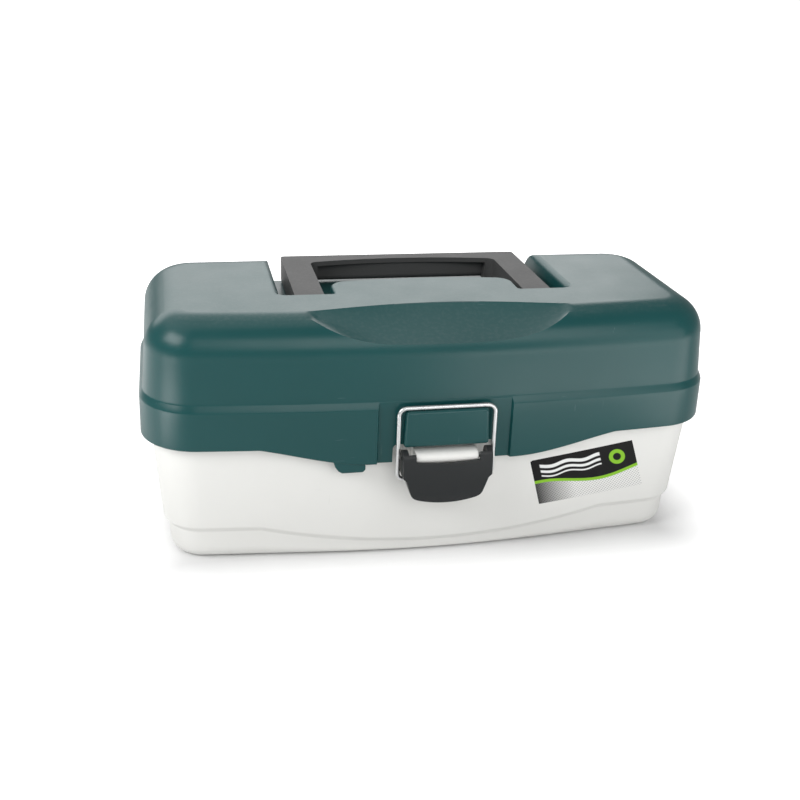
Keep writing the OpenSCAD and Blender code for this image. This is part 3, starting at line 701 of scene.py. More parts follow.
# %% Bosses and knuckles of the tub
(LEVER_Y, LEVER_Z), LATCH_PIN_R = pin_line("latch_pin")[:2]
FRONT_Y = -(HALF_D + FRONT_BOW)
BOSS_HALF = 18.2*MM
BOSS_R = 3.3*MM
BOSS_DROP = 5.5*MM
(HINGE_Y, HINGE_Z), HINGE_PIN_R, hinge_ends = pin_line("hinge_pin_right")
HINGE_X = sum(hinge_ends)/2
HINGE_PIN_L = hinge_ends[1] - hinge_ends[0]
KNUCKLE_R = HINGE_PIN_R + 2.5*MM
KNUCKLE_L = 19*MM
LID_KNUCKLE_L = 8*MM
GUSSET_H = 16*MM
RUN_GAP = 0.3*MM
EDGE_ROUND = 0.6*MM
ARM_PIN = pin_line("arm_pin_right")[0]
ARM_BOSS_R = 5*MM
ARM_BOSS_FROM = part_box("tray_arm_right")[1].x + RUN_GAP
ARM_BOSS_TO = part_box("arm_pin_right")[1].x


def tub_bosses():
    wall_y = FRONT_Y + SHOULDER_IN + WALL/2
    nose = arc((LEVER_Y, LEVER_Z), BOSS_R, 90, 270, 16)
    boss = prism("boss", nose + [(LEVER_Y, LEVER_Z - BOSS_DROP), (wall_y, LEVER_Z - BOSS_DROP),
                                 (wall_y, LEVER_Z + BOSS_R)], "x", -BOSS_HALF, BOSS_HALF)
    soften(boss, EDGE_ROUND)
    join(tub, boss, "UNION")
    back_y = HALF_D - SHOULDER_IN - WALL/2
    for side in (-1, 1):
        round_end = arc((HINGE_Y, HINGE_Z), KNUCKLE_R, -90, 167, 24)
        knuckle = prism("knuckle", round_end + [(back_y, HINGE_Z + MM), (back_y, HINGE_Z - GUSSET_H)], "x",
                        side*HINGE_X - KNUCKLE_L/2, side*HINGE_X + KNUCKLE_L/2)
        join(tub, knuckle, "UNION")
        join(tub, rod("arm_boss", side*ARM_BOSS_FROM, side*ARM_BOSS_TO, *ARM_PIN, ARM_BOSS_R), "UNION")
        hole = rod("hole", side*HINGE_X - KNUCKLE_L, side*HINGE_X + KNUCKLE_L, HINGE_Y, HINGE_Z, HINGE_PIN_R)
        join(tub, hole, "DIFFERENCE")


tub_bosses()
dress(tub, "base", "tub_plastic", "tub")
print("tub:", len(tub.data.polygons), "faces")

# %% [markdown]
# ## The lid
# The lid is the main form: a skirt band that dips towards the latch and ends beside it, a drafted wall,
# a large rounded top edge with a hand scoop pressed into it, and a sunk pocket for the handle.
# Sculpting would give soft guesses. The same ring rule as the tub's gives the mould's own curves, with the scoop
# as a second path over the edge that is mixed in along the front.

# %% Lid shell
SKIRT_DIP = 11*MM
SKIRT_T = 3.2*MM
BAND_Z = RIM_Z + 3*MM
BAND_OUT = 2.4*MM
BAND_EDGE = 4.5*MM
GAP_IN = 2*MM
LID_WALL_IN = BAND_OUT + 2*MM
TOP_R = 21.5*MM
WAVE_OUT = 105*MM
WAVE_IN = 42*MM
LEDGE_T = 2*MM
LEDGE_IN = RIM_IN + WALL + RUN_GAP
SCOOP_HALF = 75*MM
SCOOP_REACH = 11*MM
SCOOP_FADE = 8*MM
SCOOP_SAG = 1.2*MM
SCOOP_LOW = 20.6
SCOOP_END = 64.0
SKIRT_ROUND = 0.8*MM
SKIRT_LIP = 0.3*MM
BAND_DRAFT = 0.3*MM
CREASE_IN = 0.02*MM
CREASE_UP = 0.3*MM


def skirt_edge(place):
    t = np.clip((WAVE_OUT - np.abs(place))/(WAVE_OUT - WAVE_IN), 0, 1)
    return SKIRT_Z - SKIRT_DIP*t*(1 + t - t*t)


def band_in():
    """How far the band's face lies inside the outline: nothing on the band, a step in at the latch's gap."""
    return GAP_IN*smooth(np.clip((BAND_GAP + GAP_EDGE - np.abs(along))/GAP_EDGE, 0, 1))


def edge_arc(angle, skin):
    """Inset and height on the rounded top edge, for the outer face or a skin's thickness inside it."""
    turn = np.radians(angle)
    return (LID_WALL_IN + skin + (TOP_R - skin)*(1 - np.cos(turn)), TOP_Z - TOP_R + (TOP_R - skin)*np.sin(turn))


def edge_rings(skin, low_shares, high_shares):
    """Rings up the round to where the scoop starts, then over the scoop to the flat top."""
    reach = np.minimum(np.abs(along)/SCOOP_HALF, 1)
    start = mix(SCOOP_LOW, SCOOP_END, reach**4)
    share = smooth(np.clip((SCOOP_HALF + SCOOP_FADE/2 - np.abs(along))/SCOOP_FADE, 0, 1))
    flat_in = LID_WALL_IN + TOP_R + SCOOP_REACH*np.maximum(0, 1 - (along/SCOOP_HALF)**2)**1.2
    rings = [ring(*edge_arc(start*t, skin)) for t in low_shares]
    for t in high_shares:
        plain = edge_arc(mix(start, 90, t), skin)
        first = edge_arc(start, skin)
        hollow = (mix(first[0], flat_in, t), mix(first[1], TOP_Z - skin, t) - 4*SCOOP_SAG*t*(1 - t))
        rings.append(ring(mix(plain[0], hollow[0], share), mix(plain[1], hollow[1], share)))
    return rings


LOW_SHARES = np.linspace(0, 1, 13)
HIGH_SHARES = np.array([0.03, 0.08, 0.15, 0.23, 0.32, 0.41, 0.5, 0.59, 0.68, 0.77, 0.85, 0.92, 0.97, 1.0])


def lid_outside():
    edge = skirt_edge(along)
    face = band_in()
    rings = []
    for a in np.radians(np.linspace(0, 90, 5)):
        rings.append(ring(face + SKIRT_ROUND*(1 - math.sin(a)), edge + SKIRT_ROUND*(1 - math.cos(a))))
    for t in np.linspace(0.15, 1, 6):
        rings.append(ring(np.maximum(face, BAND_DRAFT*t), mix(edge + SKIRT_ROUND, BAND_Z - BAND_EDGE, t)))
    for t in np.linspace(0.1, 0.97, 9):
        inset = mix(BAND_DRAFT, BAND_OUT, t**1.2)
        rings.append(ring(np.maximum(face, inset), BAND_Z - BAND_EDGE*(1 - t)))
    rings.append(ring(BAND_OUT + CREASE_IN, BAND_Z + CREASE_UP))
    wall_top = TOP_Z - TOP_R
    for t in np.linspace(0.06, 0.94, 6):
        rings.append(ring(mix(BAND_OUT, LID_WALL_IN, t), mix(BAND_Z, wall_top, t)))
    return rings + edge_rings(0, LOW_SHARES, HIGH_SHARES)


def lid_inside():
    rings = edge_rings(WALL, np.linspace(0, 1, 9), np.linspace(0.08, 1, 13))[::-1]
    ledge_z = RIM_Z + RUN_GAP
    rings.append(ring(BAND_OUT + WALL, ledge_z + LEDGE_T + LEDGE_IN - BAND_OUT - WALL))
    rings.append(ring(LEDGE_IN, ledge_z + LEDGE_T))
    rings.append(ring(LEDGE_IN, ledge_z))
    rings.append(ring(SKIRT_T, ledge_z))
    rings.append(ring(SKIRT_T, skirt_edge(along) + SKIRT_LIP))
    return rings


lid = loft("lid_shell", lid_inside() + lid_outside())
print("lid loft:", len(lid.data.polygons), "faces")

# %% [markdown]
# ### The handle's pocket
# The pocket is sunk into the top and runs out at the back. Its side walls lean and roll over into the top,
# and a tongue of the lid reaches in between the handle's arms. The hollow could be pulled down out of the
# top face, but the rolled edge is easier to give to the tool: a lofted solid that flares at its top,
# taken out of the lid.

# %% Pocket
handle_low, handle_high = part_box("handle")
HANDLE_Y, HANDLE_Z = pin_line("handle_pin_right")[0]
HANDLE_HALF = handle_high.x
HANDLE_T = handle_high.z - handle_low.z
ARM_W = 17.5*MM
HANDLE_IN = HANDLE_HALF - ARM_W
POCKET_HALF = HANDLE_HALF + 13.5*MM
POCKET_FLOOR = handle_low.z - MM
POCKET_FRONT = HANDLE_Y - HANDLE_T/2 - 1.7*MM
POCKET_R = 8*MM
POCKET_BACK = HALF_D + 20*MM
SIDE_ROLL = 4.5*MM
FRONT_ROLL = 0.5*MM
FLOOR_ROUND = 2.0*MM
WALL_LEAN = 0.9*MM
TONGUE_HALF = HANDLE_IN - 5*MM
TONGUE_BACK = 3*MM
TONGUE_ARCH = 3.1*MM
TONGUE_R = 9*MM
TONGUE_ROLL = 1.6*MM
TONGUE_FOOT_R = 3*MM
TONGUE_ROOT = 5*MM
ROLL_END = 70
OVER_TOP = 0.4*MM
POCKET_CLEAR = 8*MM
TONGUE_SINK = 0.5*MM
TONGUE_OVER = 0.3*MM
TONGUE_CLEAR = 10*MM


def pocket_level(grow_x, grow_y, z):
    """Round-cornered ring of the pocket's outer wall, open at the back."""
    half = POCKET_HALF + grow_x
    front = POCKET_FRONT - grow_y
    ring_points = [(half, POCKET_BACK), (-half, POCKET_BACK)]
    for side, start in ((-1, 180), (1, 270)):
        ring_points += arc((side*(half - POCKET_R), front + POCKET_R), POCKET_R, start, start + 90, 12)
    return np.array([(x, y, z) for x, y in ring_points])


def tongue_level(grow, front, z):
    """Ring of the tongue: arched back, round corners and a foot that runs into the pocket's front wall."""
    half = TONGUE_HALF + grow
    back = TONGUE_BACK + grow
    flat = half - TONGUE_R
    right = [(half + TONGUE_FOOT_R, front - TONGUE_ROOT)]
    right += arc((half + TONGUE_FOOT_R, front + TONGUE_FOOT_R), TONGUE_FOOT_R, 258, 180, 8)
    right += arc((flat, back - TONGUE_R), TONGUE_R, 0, 90, 10)
    arch = [(flat*t, back + TONGUE_ARCH*(1 - t*t)) for t in np.linspace(1, -1, 25)[1:-1]]
    return np.array([(x, y, z) for x, y in right + arch + mirrored(right)])


def roll_over(roll, share):
    """Place on a rolled edge: how far out from the wall and how far below the top."""
    return roll*(1 - math.cos(share)), roll*(1 - math.sin(share))


def pocket_rings():
    rings = []
    for a in np.radians(np.linspace(0, 90, 6)):
        inward = WALL_LEAN + FLOOR_ROUND*(1 - math.sin(a))
        rings.append(pocket_level(-SIDE_ROLL - inward, -FRONT_ROLL - inward,
                                  POCKET_FLOOR + FLOOR_ROUND*(1 - math.cos(a))))
    end = math.radians(ROLL_END)
    for a in np.linspace(0, end, 9):
        out_x, down = roll_over(SIDE_ROLL, a)
        rings.append(pocket_level(out_x - SIDE_ROLL, FRONT_ROLL*(1 - math.cos(a)) - FRONT_ROLL, TOP_Z - down))
    rise = SIDE_ROLL*(1 - math.sin(end)) + OVER_TOP
    run = rise*math.tan(end)
    rings.append(pocket_level(SIDE_ROLL*(1 - math.cos(end)) - SIDE_ROLL + run,
                              FRONT_ROLL*(1 - math.cos(end)) - FRONT_ROLL + run*FRONT_ROLL/SIDE_ROLL,
                              TOP_Z + OVER_TOP))
    rings.append(pocket_level(run, run, TOP_Z + POCKET_CLEAR))
    return rings


def tongue_rings():
    rings = []
    for a in np.radians(np.linspace(0, 90, 6)):
        out = WALL_LEAN + FLOOR_ROUND*(1 - math.sin(a))
        z = POCKET_FLOOR + FLOOR_ROUND*(1 - math.cos(a)) - (TONGUE_SINK if a == 0 else 0)
        rings.append(tongue_level(out, POCKET_FRONT, z))
    for a in np.linspace(0, math.radians(ROLL_END), 7):
        back, down = roll_over(TONGUE_ROLL, a)
        rings.append(tongue_level(-back, POCKET_FRONT, TOP_Z - down))
    rings.append(tongue_level(-TONGUE_ROLL, POCKET_FRONT, TOP_Z + TONGUE_OVER))
    rings.append(tongue_level(-TONGUE_ROLL, POCKET_FRONT, TOP_Z + TONGUE_CLEAR))
    return rings


def sink_pocket():
    """Underside of the pocket is added first, then the hollow is taken out."""
    pan = loft("pan", [pocket_level(WALL - SIDE_ROLL, WALL - FRONT_ROLL, z)
                       for z in (POCKET_FLOOR - WALL, TOP_Z - WALL/2)])
    core = loft("core", [ring(BAND_OUT + WALL/2, BAND_Z)] + edge_rings(WALL/2, np.linspace(0, 1, 7),
                                                                    np.linspace(0.1, 1, 10)))
    under_tongue = loft("under_tongue", [tongue_level(-WALL, POCKET_FRONT - 2*WALL, z)
                                         for z in (POCKET_FLOOR - 2*WALL, TOP_Z - WALL)])
    join(pan, under_tongue, "DIFFERENCE")
    join(pan, core, "INTERSECT")
    join(lid, pan, "UNION")
    hollow = loft("hollow", pocket_rings())
    join(hollow, loft("tongue", tongue_rings()), "DIFFERENCE")
    join(lid, hollow, "DIFFERENCE")


sink_pocket()
print("lid with its pocket:", len(lid.data.polygons), "faces")

# %% [markdown]
# ### Catch, lift tab, knuckles and lugs
# The catch is the block that the wire hooks over, the tab left of it lifts the skirt, the knuckles turn on the
# back pins, and the lugs inside carry the tray. All are parts of the lid's own moulding.

# %% Catch, tab, knuckles and lugs of the lid
CATCH_HALF = 25*MM
CATCH_SLANT = 1.2*MM
CATCH_Z = LEVER_Z + 6*MM
CATCH_H = 22*MM
CATCH_Y = FRONT_Y - 4*MM
CATCH_ROUND = 2.0*MM
NOTCH_HALF = 30.1*MM
NOTCH_R = 3*MM
BLOCK_ROOT = 3*MM
GUSSET_IN = 4*MM
GUSSET_TOP = 1.6*MM
GUSSET_SHY = 0.02*MM
TAB_X = -53.5*MM
TAB_HALF = 7.5*MM
TAB_DROP = 5.5*MM
TAB_FRONT_IN = 0.6*MM
TAB_BACK_IN = 0.2*MM
TRAY_PIN = pin_line("tray_pin_right")[0]
TRAY_PIN_R = 2*MM
TRAY_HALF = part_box("tray")[1].x
LUG_X = TRAY_HALF + 2*RUN_GAP
LUG_T = 3*MM
LUG_R = 5.5*MM
LUG_ROOT_Z = RIM_Z + 4*MM
LUG_HEAD_H = 12*MM


def add_catch():
    outline = [(-CATCH_HALF, CATCH_Z), (CATCH_HALF, CATCH_Z), (CATCH_HALF - CATCH_SLANT, CATCH_Z + CATCH_H),
               (-CATCH_HALF + CATCH_SLANT, CATCH_Z + CATCH_H)]
    catch = prism("catch", outline, "y", CATCH_Y, FRONT_Y + GAP_IN + BLOCK_ROOT)
    soften(catch, CATCH_ROUND)
    join(lid, catch, "UNION")


def add_tab():
    edge = skirt_edge(TAB_X)
    low = edge - TAB_DROP
    outline = [(TAB_X - TAB_HALF - 3*MM, edge + 2*MM), (TAB_X - TAB_HALF - 2*MM, low + 4*MM),
               (TAB_X - TAB_HALF, low + 1.2*MM), (TAB_X - TAB_HALF + 2*MM, low), (TAB_X + TAB_HALF - MM, low),
               (TAB_X + TAB_HALF + 0.5*MM, low + 1.5*MM), (TAB_X + TAB_HALF + 0.5*MM, edge - MM)]
    tab = prism("tab", outline, "y", bow_y(TAB_X) + TAB_FRONT_IN, bow_y(TAB_X) + SKIRT_T - TAB_BACK_IN)
    soften(tab, EDGE_ROUND)
    join(lid, tab, "UNION")


def cut_notch():
    """Opening in the skirt behind the latch, with round upper corners."""
    outline = [(-NOTCH_HALF, 0), (NOTCH_HALF, 0)]
    outline += arc((NOTCH_HALF - NOTCH_R, CATCH_Z - NOTCH_R), NOTCH_R, 0, 90, 6)
    outline += arc((NOTCH_R - NOTCH_HALF, CATCH_Z - NOTCH_R), NOTCH_R, 90, 180, 6)
    join(lid, prism("notch", outline, "y", CATCH_Y - MM, FRONT_Y + SKIRT_T + BLOCK_ROOT), "DIFFERENCE")


def add_knuckles(side):
    for end in (-1, 1):
        near = side*HINGE_X + end*(KNUCKLE_L/2 + RUN_GAP)
        far = near + end*LID_KNUCKLE_L
        join(lid, rod("knuckle", near, far, HINGE_Y, HINGE_Z, KNUCKLE_R), "UNION")
        gusset = [(HINGE_Y - GUSSET_IN, HINGE_Z), (HINGE_Y + KNUCKLE_R - GUSSET_SHY, HINGE_Z),
                  (HINGE_Y - GUSSET_TOP, HINGE_Z + GUSSET_H), (HINGE_Y - GUSSET_IN, HINGE_Z + GUSSET_H)]
        join(lid, prism("gusset", gusset, "x", min(near, far), max(near, far)), "UNION")
    reach = KNUCKLE_L/2 + RUN_GAP
    window = box("window", side*HINGE_X - reach, side*HINGE_X + reach, HALF_D - SKIRT_T - MM,
                 HINGE_Y + 2*KNUCKLE_R, 0, HINGE_Z + KNUCKLE_R + RUN_GAP)
    join(lid, window, "DIFFERENCE")
    hole = rod("hole", side*HINGE_X - HINGE_PIN_L, side*HINGE_X + HINGE_PIN_L, HINGE_Y, HINGE_Z, HINGE_PIN_R)
    join(lid, hole, "DIFFERENCE")


def add_lug(side):
    y, z = TRAY_PIN
    top = LUG_ROOT_Z + LUG_HEAD_H
    lug = arc((y, z), LUG_R, 180, 360, 20) + [(y + LUG_R, top), (y - LUG_R, top)]
    plate = prism("lug", lug, "x", *sorted((side*LUG_X, side*(LUG_X + LUG_T))))
    join(plate, rod("hole", side*(LUG_X - MM), side*(LUG_X + LUG_T + MM), y, z, TRAY_PIN_R), "DIFFERENCE")
    join(lid, plate, "UNION")
    ends = sorted((side*(LUG_X + LUG_T/2), side*(HALF_L - BAND_OUT - WALL/2)))
    join(lid, box("lug_root", *ends, y - LUG_R, y + LUG_R, LUG_ROOT_Z, top), "UNION")


add_catch()
add_tab()
cut_notch()
for side in (-1, 1):
    add_knuckles(side)
    add_lug(side)
dress(lid, "lid", "lid_plastic", "lid")
print("lid:", len(lid.data.polygons), "faces")

# %% [markdown]
# ## The handle
# The handle is one U of dark plastic: two flat arms and a grip whose top plate overhangs a round bar
# for the fingers.
# It could be swept along a path, but its plan and its side view are both plain outlines.
# So the plan is cut to the side view, the finger room is taken out, and only then are the edges rounded.

# %% Handle
GRIP_D = 14.5*MM
GRIP_BAR = 8.5*MM
GRIP_ARCH = 5*MM
GRIP_LIP = 3*MM
GRIP_ROUND = 4*MM
HANDLE_CORNER_R = 2.5*MM
HANDLE_INNER_R = 5*MM
HANDLE_EDGE = 1.0*MM
HANDLE_PIN_R = 3*MM
PIN_DEPTH = 0.7
ROOM_R = 1.5*MM
PIN_FIT = 0.05*MM


def handle_plan():
    """The U seen from above, with the opening's rear edge arched."""
    front = HANDLE_Y - HANDLE_T
    back = handle_high.y
    inner = back - GRIP_D
    corner = (HANDLE_HALF - HANDLE_CORNER_R, back - HANDLE_CORNER_R)
    outer = [(HANDLE_HALF, front)] + arc(corner, HANDLE_CORNER_R, 0, 90, 8)
    flat = HANDLE_IN - HANDLE_INNER_R
    left = [(-HANDLE_IN, front)] + arc((-flat, inner - HANDLE_INNER_R), HANDLE_INNER_R, 180, 90, 8)
    arch = [(flat*t, inner + GRIP_ARCH*(1 - t*t)) for t in np.linspace(-1, 1, 33)[1:-1]]
    return outer + mirrored(outer) + left + arch + mirrored(left)


def handle_side():
    """Side view: round about the pin, with a rounded lower edge at the grip."""
    back = handle_high.y
    return (arc((HANDLE_Y, HANDLE_Z), HANDLE_T/2, 90, 270, 24)
            + arc((back - GRIP_ROUND, handle_low.z + GRIP_ROUND), GRIP_ROUND, 270, 360, 10)
            + [(back, handle_high.z)])


def finger_room():
    """Side view of the room under the grip's top plate, in front of the bar."""
    bar = handle_high.y - GRIP_BAR
    low, lip = handle_low.z, handle_high.z - GRIP_LIP
    return ([(bar - GRIP_D, low - MM), (bar + GRIP_ROUND, low - MM)]
            + arc((bar + GRIP_ROUND, low + GRIP_ROUND), GRIP_ROUND, 270, 180, 10)
            + arc((bar - ROOM_R, lip - ROOM_R), ROOM_R, 0, 90, 5) + [(bar - GRIP_D, lip)])


def make_handle():
    handle = prism("handle_moulding", handle_plan(), "z", handle_low.z - MM, handle_high.z + MM)
    join(handle, prism("side", handle_side(), "x", -2*HANDLE_HALF, 2*HANDLE_HALF), "INTERSECT")
    reach = HANDLE_IN - HANDLE_INNER_R
    join(handle, prism("room", finger_room(), "x", -reach, reach), "DIFFERENCE")
    soften(handle, HANDLE_EDGE, 4)
    for side in (-1, 1):
        hole = rod("hole", side*(HANDLE_IN - MM), side*(HANDLE_IN + PIN_DEPTH*ARM_W + PIN_FIT), HANDLE_Y, HANDLE_Z,
                   HANDLE_PIN_R + PIN_FIT)
        join(handle, hole, "DIFFERENCE")
    return handle


handle = make_handle()
dress(handle, "handle", "handle_plastic", "handle")
print("handle:", len(handle.data.polygons), "faces")

# %% [markdown]
# ## The latch lever
# The lever is a thin black plate with ears round the pin, flanges behind that carry the wire, and a curved foot
# for the thumb. As with the handle, its front view is cut to its side view, then hollowed and rounded.

# %% Latch lever
lever_low, lever_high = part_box("latch_lever")
LEVER_HALF = lever_high.x
EAR_R = lever_high.z - LEVER_Z
LEVER_LEN = LEVER_Z - lever_low.z
LEVER_FOOT_HALF = 21*MM
LEVER_BOW = 4*MM
LEVER_CORNER = 2*MM
LEVER_TURN = 0.82
PLATE_T = 1.6*MM
LEVER_TUCK = 1.2*MM
LEVER_STEP = -10*MM
LEVER_STEP_IN = 2*MM
LEVER_NOTCH = -0.8*MM
LEVER_NOTCH_BOW = 1.1*MM
FLANGE_T = 3.2*MM
EAR_X = BOSS_HALF + 1.3*RUN_GAP
BAIL_DY = 2*MM
BAIL_DZ = -13.5*MM
WIRE_R = 1.25*MM
LEVER_BACK = lever_high.y - LEVER_Y
LEVER_EDGE = 0.7*MM
LEVER_BULGE = 0.7*MM
FLANGE_BELOW = 4.1*MM
FLANGE_ABOVE = 2.5*MM


def lever_front(inset):
    """Front view: full width down to the wire's pivot, a small step, then a taper to the curved foot."""
    foot = LEVER_FOOT_HALF - inset
    right = [(LEVER_HALF - inset, LEVER_Z + 2*EAR_R), (LEVER_HALF - inset, LEVER_Z + LEVER_STEP),
             (LEVER_HALF - inset - LEVER_STEP_IN, LEVER_Z + LEVER_STEP - LEVER_STEP_IN)]
    edge = [(foot*t, LEVER_Z - LEVER_LEN + LEVER_BOW*t**2 + LEVER_CORNER*t**16) for t in np.linspace(1, -1, 41)]
    return right + edge + mirrored(right)


def lever_face():
    """Points down the lever's front, a shallow bulge that turns in at the foot."""
    rows = []
    for t in np.linspace(0, 1, 13):
        bulge = LEVER_BULGE*math.sin(math.pi*min(1, t/LEVER_TURN))
        tuck = LEVER_TUCK*max(0, (t - LEVER_TURN)/(1 - LEVER_TURN))
        rows.append((LEVER_Y - EAR_R - bulge + tuck, LEVER_Z - LEVER_LEN*t))
    return rows


def lever_side():
    y, z = LEVER_Y, LEVER_Z
    inner = y - EAR_R + LEVER_TUCK + PLATE_T
    back = [(inner, z - LEVER_LEN), (inner, z - LEVER_TURN*LEVER_LEN),
            (y + LEVER_BACK, z + BAIL_DZ - FLANGE_BELOW), (y + LEVER_BACK, z + BAIL_DZ + FLANGE_ABOVE)]
    return lever_face() + back + arc((y, z), EAR_R, 0, 170, 20)


def lever_notch():
    """Front view of the notch between the ears, with a bowed foot."""
    edge = [(EAR_X*t, LEVER_Z + LEVER_NOTCH - LEVER_NOTCH_BOW*(1 - t*t)) for t in np.linspace(1, -1, 17)]
    return [(-EAR_X, LEVER_Z + 3*EAR_R), (EAR_X, LEVER_Z + 3*EAR_R)] + edge


def make_lever():
    lever = prism("lever_moulding", lever_front(0), "y", LEVER_Y - 3*EAR_R, LEVER_Y + 3*EAR_R)
    join(lever, prism("side", lever_side(), "x", -2*LEVER_HALF, 2*LEVER_HALF), "INTERSECT")
    hollow = prism("hollow", lever_front(FLANGE_T), "y", LEVER_Y - 2*EAR_R, LEVER_Y + 2*EAR_R)
    plate, foot = LEVER_Y - EAR_R + PLATE_T, LEVER_Z - LEVER_TURN*LEVER_LEN
    room = box("room", -LEVER_HALF, LEVER_HALF, plate, LEVER_Y + 3*EAR_R, foot, LEVER_Z + 3*EAR_R)
    join(hollow, room, "INTERSECT")
    join(lever, hollow, "DIFFERENCE")
    join(lever, prism("notch", lever_notch(), "y", LEVER_Y - 3*EAR_R, LEVER_Y + 3*EAR_R), "DIFFERENCE")
    soften(lever, LEVER_EDGE)
    for y, z, radius in ((LEVER_Y, LEVER_Z, LATCH_PIN_R), (LEVER_Y + BAIL_DY, LEVER_Z + BAIL_DZ, WIRE_R)):
        join(lever, rod("hole", -2*LEVER_HALF, 2*LEVER_HALF, y, z, radius + PIN_FIT), "DIFFERENCE")
    return lever


lever = make_lever()
dress(lever, "lever", "lever_plastic", "latch_lever")
print("lever:", len(lever.data.polygons), "faces")

# %% [markdown]
# ## The wire bail
# The bail is one bent wire, so it is drawn as its bend points and nothing else. A Geometry Nodes group turns
# the points into a curve, rounds each bend by the radius stored on its point, and sweeps a circle along it.
# Modelling the tube by hand would need new loops for each change of the wire's thickness.

# %% Wire bail
BAIL_BEND = 4.5*MM
TIP_BEND = 3.2*MM
BAIL_TIP = 8*MM
BAR_OUT = 1.5*MM
bail_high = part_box("latch_bail")[1]
BAIL_X = bail_high.x - WIRE_R
BAIL_PIVOT = (LEVER_Y + BAIL_DY, LEVER_Z + BAIL_DZ)
BAIL_BAR = (FRONT_Y - BAR_OUT, bail_high.z - WIRE_R)


def set_inputs(modifier, values):
    """Sets a Geometry Nodes modifier's inputs by their names, through their identifiers."""
    for item in modifier.node_group.interface.items_tree:
        if item.item_type == "SOCKET" and item.in_out == "INPUT" and item.name in values:
            modifier[item.identifier] = values[item.name]


def geometry_group(name, inputs):
    """Empty Geometry Nodes group with a geometry socket each way and named inputs: (name, kind, value)."""
    group = bpy.data.node_groups.new(name, "GeometryNodeTree")
    group.interface.new_socket("Geometry", in_out="INPUT", socket_type="NodeSocketGeometry")
    for label, kind, value in inputs:
        socket = group.interface.new_socket(label, in_out="INPUT", socket_type=kind)
        if value is not None:
            socket.default_value = value
    group.interface.new_socket("Geometry", in_out="OUTPUT", socket_type="NodeSocketGeometry")
    return group, group.nodes.new("NodeGroupInput"), group.nodes.new("NodeGroupOutput")


def close_group(group, given, result, geometry):
    """Ends a group in real geometry that carries its material."""
    real = group.nodes.new("GeometryNodeRealizeInstances")
    paint = group.nodes.new("GeometryNodeSetMaterial")
    group.links.new(geometry, real.inputs["Geometry"])
    group.links.new(real.outputs["Geometry"], paint.inputs["Geometry"])
    group.links.new(given.outputs["Material"], paint.inputs["Material"])
    group.links.new(paint.outputs["Geometry"], result.inputs["Geometry"])


def make_bent_wire():
    group, given, result = geometry_group("bent_wire", [
        ("Wire Radius", "NodeSocketFloat", 0.001), ("Wire Sides", "NodeSocketInt", 24),
        ("Bend Steps", "NodeSocketInt", 12), ("Material", "NodeSocketMaterial", None)])
    to_curve = group.nodes.new("GeometryNodeMeshToCurve")
    bend = group.nodes.new("GeometryNodeInputNamedAttribute")
    bend.data_type = "FLOAT"
    bend.inputs["Name"].default_value = "bend"
    fillet = group.nodes.new("GeometryNodeFilletCurve")
    fillet.mode = "POLY"
    section = group.nodes.new("GeometryNodeCurvePrimitiveCircle")
    sweep = group.nodes.new("GeometryNodeCurveToMesh")
    sweep.inputs["Fill Caps"].default_value = True
    group.links.new(given.outputs["Geometry"], to_curve.inputs["Mesh"])
    group.links.new(to_curve.outputs["Curve"], fillet.inputs["Curve"])
    group.links.new(given.outputs["Bend Steps"], fillet.inputs["Count"])
    group.links.new(next(s for s in bend.outputs if s.enabled and s.name == "Attribute"), fillet.inputs["Radius"])
    group.links.new(given.outputs["Wire Sides"], section.inputs["Resolution"])
    group.links.new(given.outputs["Wire Radius"], section.inputs["Radius"])
    group.links.new(fillet.outputs["Curve"], sweep.inputs["Curve"])
    group.links.new(section.outputs["Curve"], sweep.inputs["Profile Curve"])
    close_group(group, given, result, sweep.outputs["Mesh"])
    return group


def make_bail():
    foot, bar = Vector((0, *BAIL_PIVOT)), Vector((0, *BAIL_BAR))
    side = [(BAIL_X - BAIL_TIP, foot, 0), (BAIL_X, foot, TIP_BEND), (BAIL_X, bar, BAIL_BEND)]
    corners = side + [(-x, at, r) for x, at, r in side[::-1]]
    points = [(x, at.y, at.z) for x, at, r in corners]
    bail = piece("bail_wire", points, [])
    bail.data.edges.add(len(points) - 1)
    for i, edge in enumerate(bail.data.edges):
        edge.vertices = (i, i + 1)
    radius = bail.data.attributes.new("bend", "FLOAT", "POINT")
    radius.data.foreach_set("value", [r for x, at, r in corners])
    sweep = bail.modifiers.new("bent_wire", "NODES")
    sweep.node_group = make_bent_wire()
    set_inputs(sweep, {"Wire Radius": WIRE_R, "Wire Sides": 24, "Bend Steps": 12, "Material": materials["wire"]})
    keep_result(bail)
    return bail


bail = make_bail()
dress(bail, "bail", "wire", "latch_bail", angle=50)
print("bail:", len(bail.data.polygons), "faces, spans", tuple(round(d, 4) for d in bail.dimensions))

# %% [markdown]
# ## The sticker
# A printed sticker sits a little askew on the tub's front. It could be a picture on a plane, but a plane would
# cut into the bowed wall, and a picture has a fixed sharpness. Here a grid of points is laid on the wall by the
# wall's own rule, and the print is made of simple shapes on its UV map: a dark field with a wavy edge,
# a bright line, pale strokes, one ring and dots.

# %% Sticker
STICKER_CORNERS = ((64.5, 28.5), (133.1, 35.0), (55.1, 59.6), (120.4, 67.8))
STICKER_T = 0.12*MM
STICKER_ASPECT = 2.05
LIME = (0.24, 0.52, 0.03, 1)
STROKE_WHITE = (0.82, 0.83, 0.82, 1)
PAPER = (0.80, 0.80, 0.78, 1)
DOT_GREY = (0.10, 0.10, 0.10, 1)
FADE_BLACK = (0.008, 0.008, 0.008, 1)
INK = (0.006, 0.006, 0.006, 1)
SOFT_EDGE = 0.006


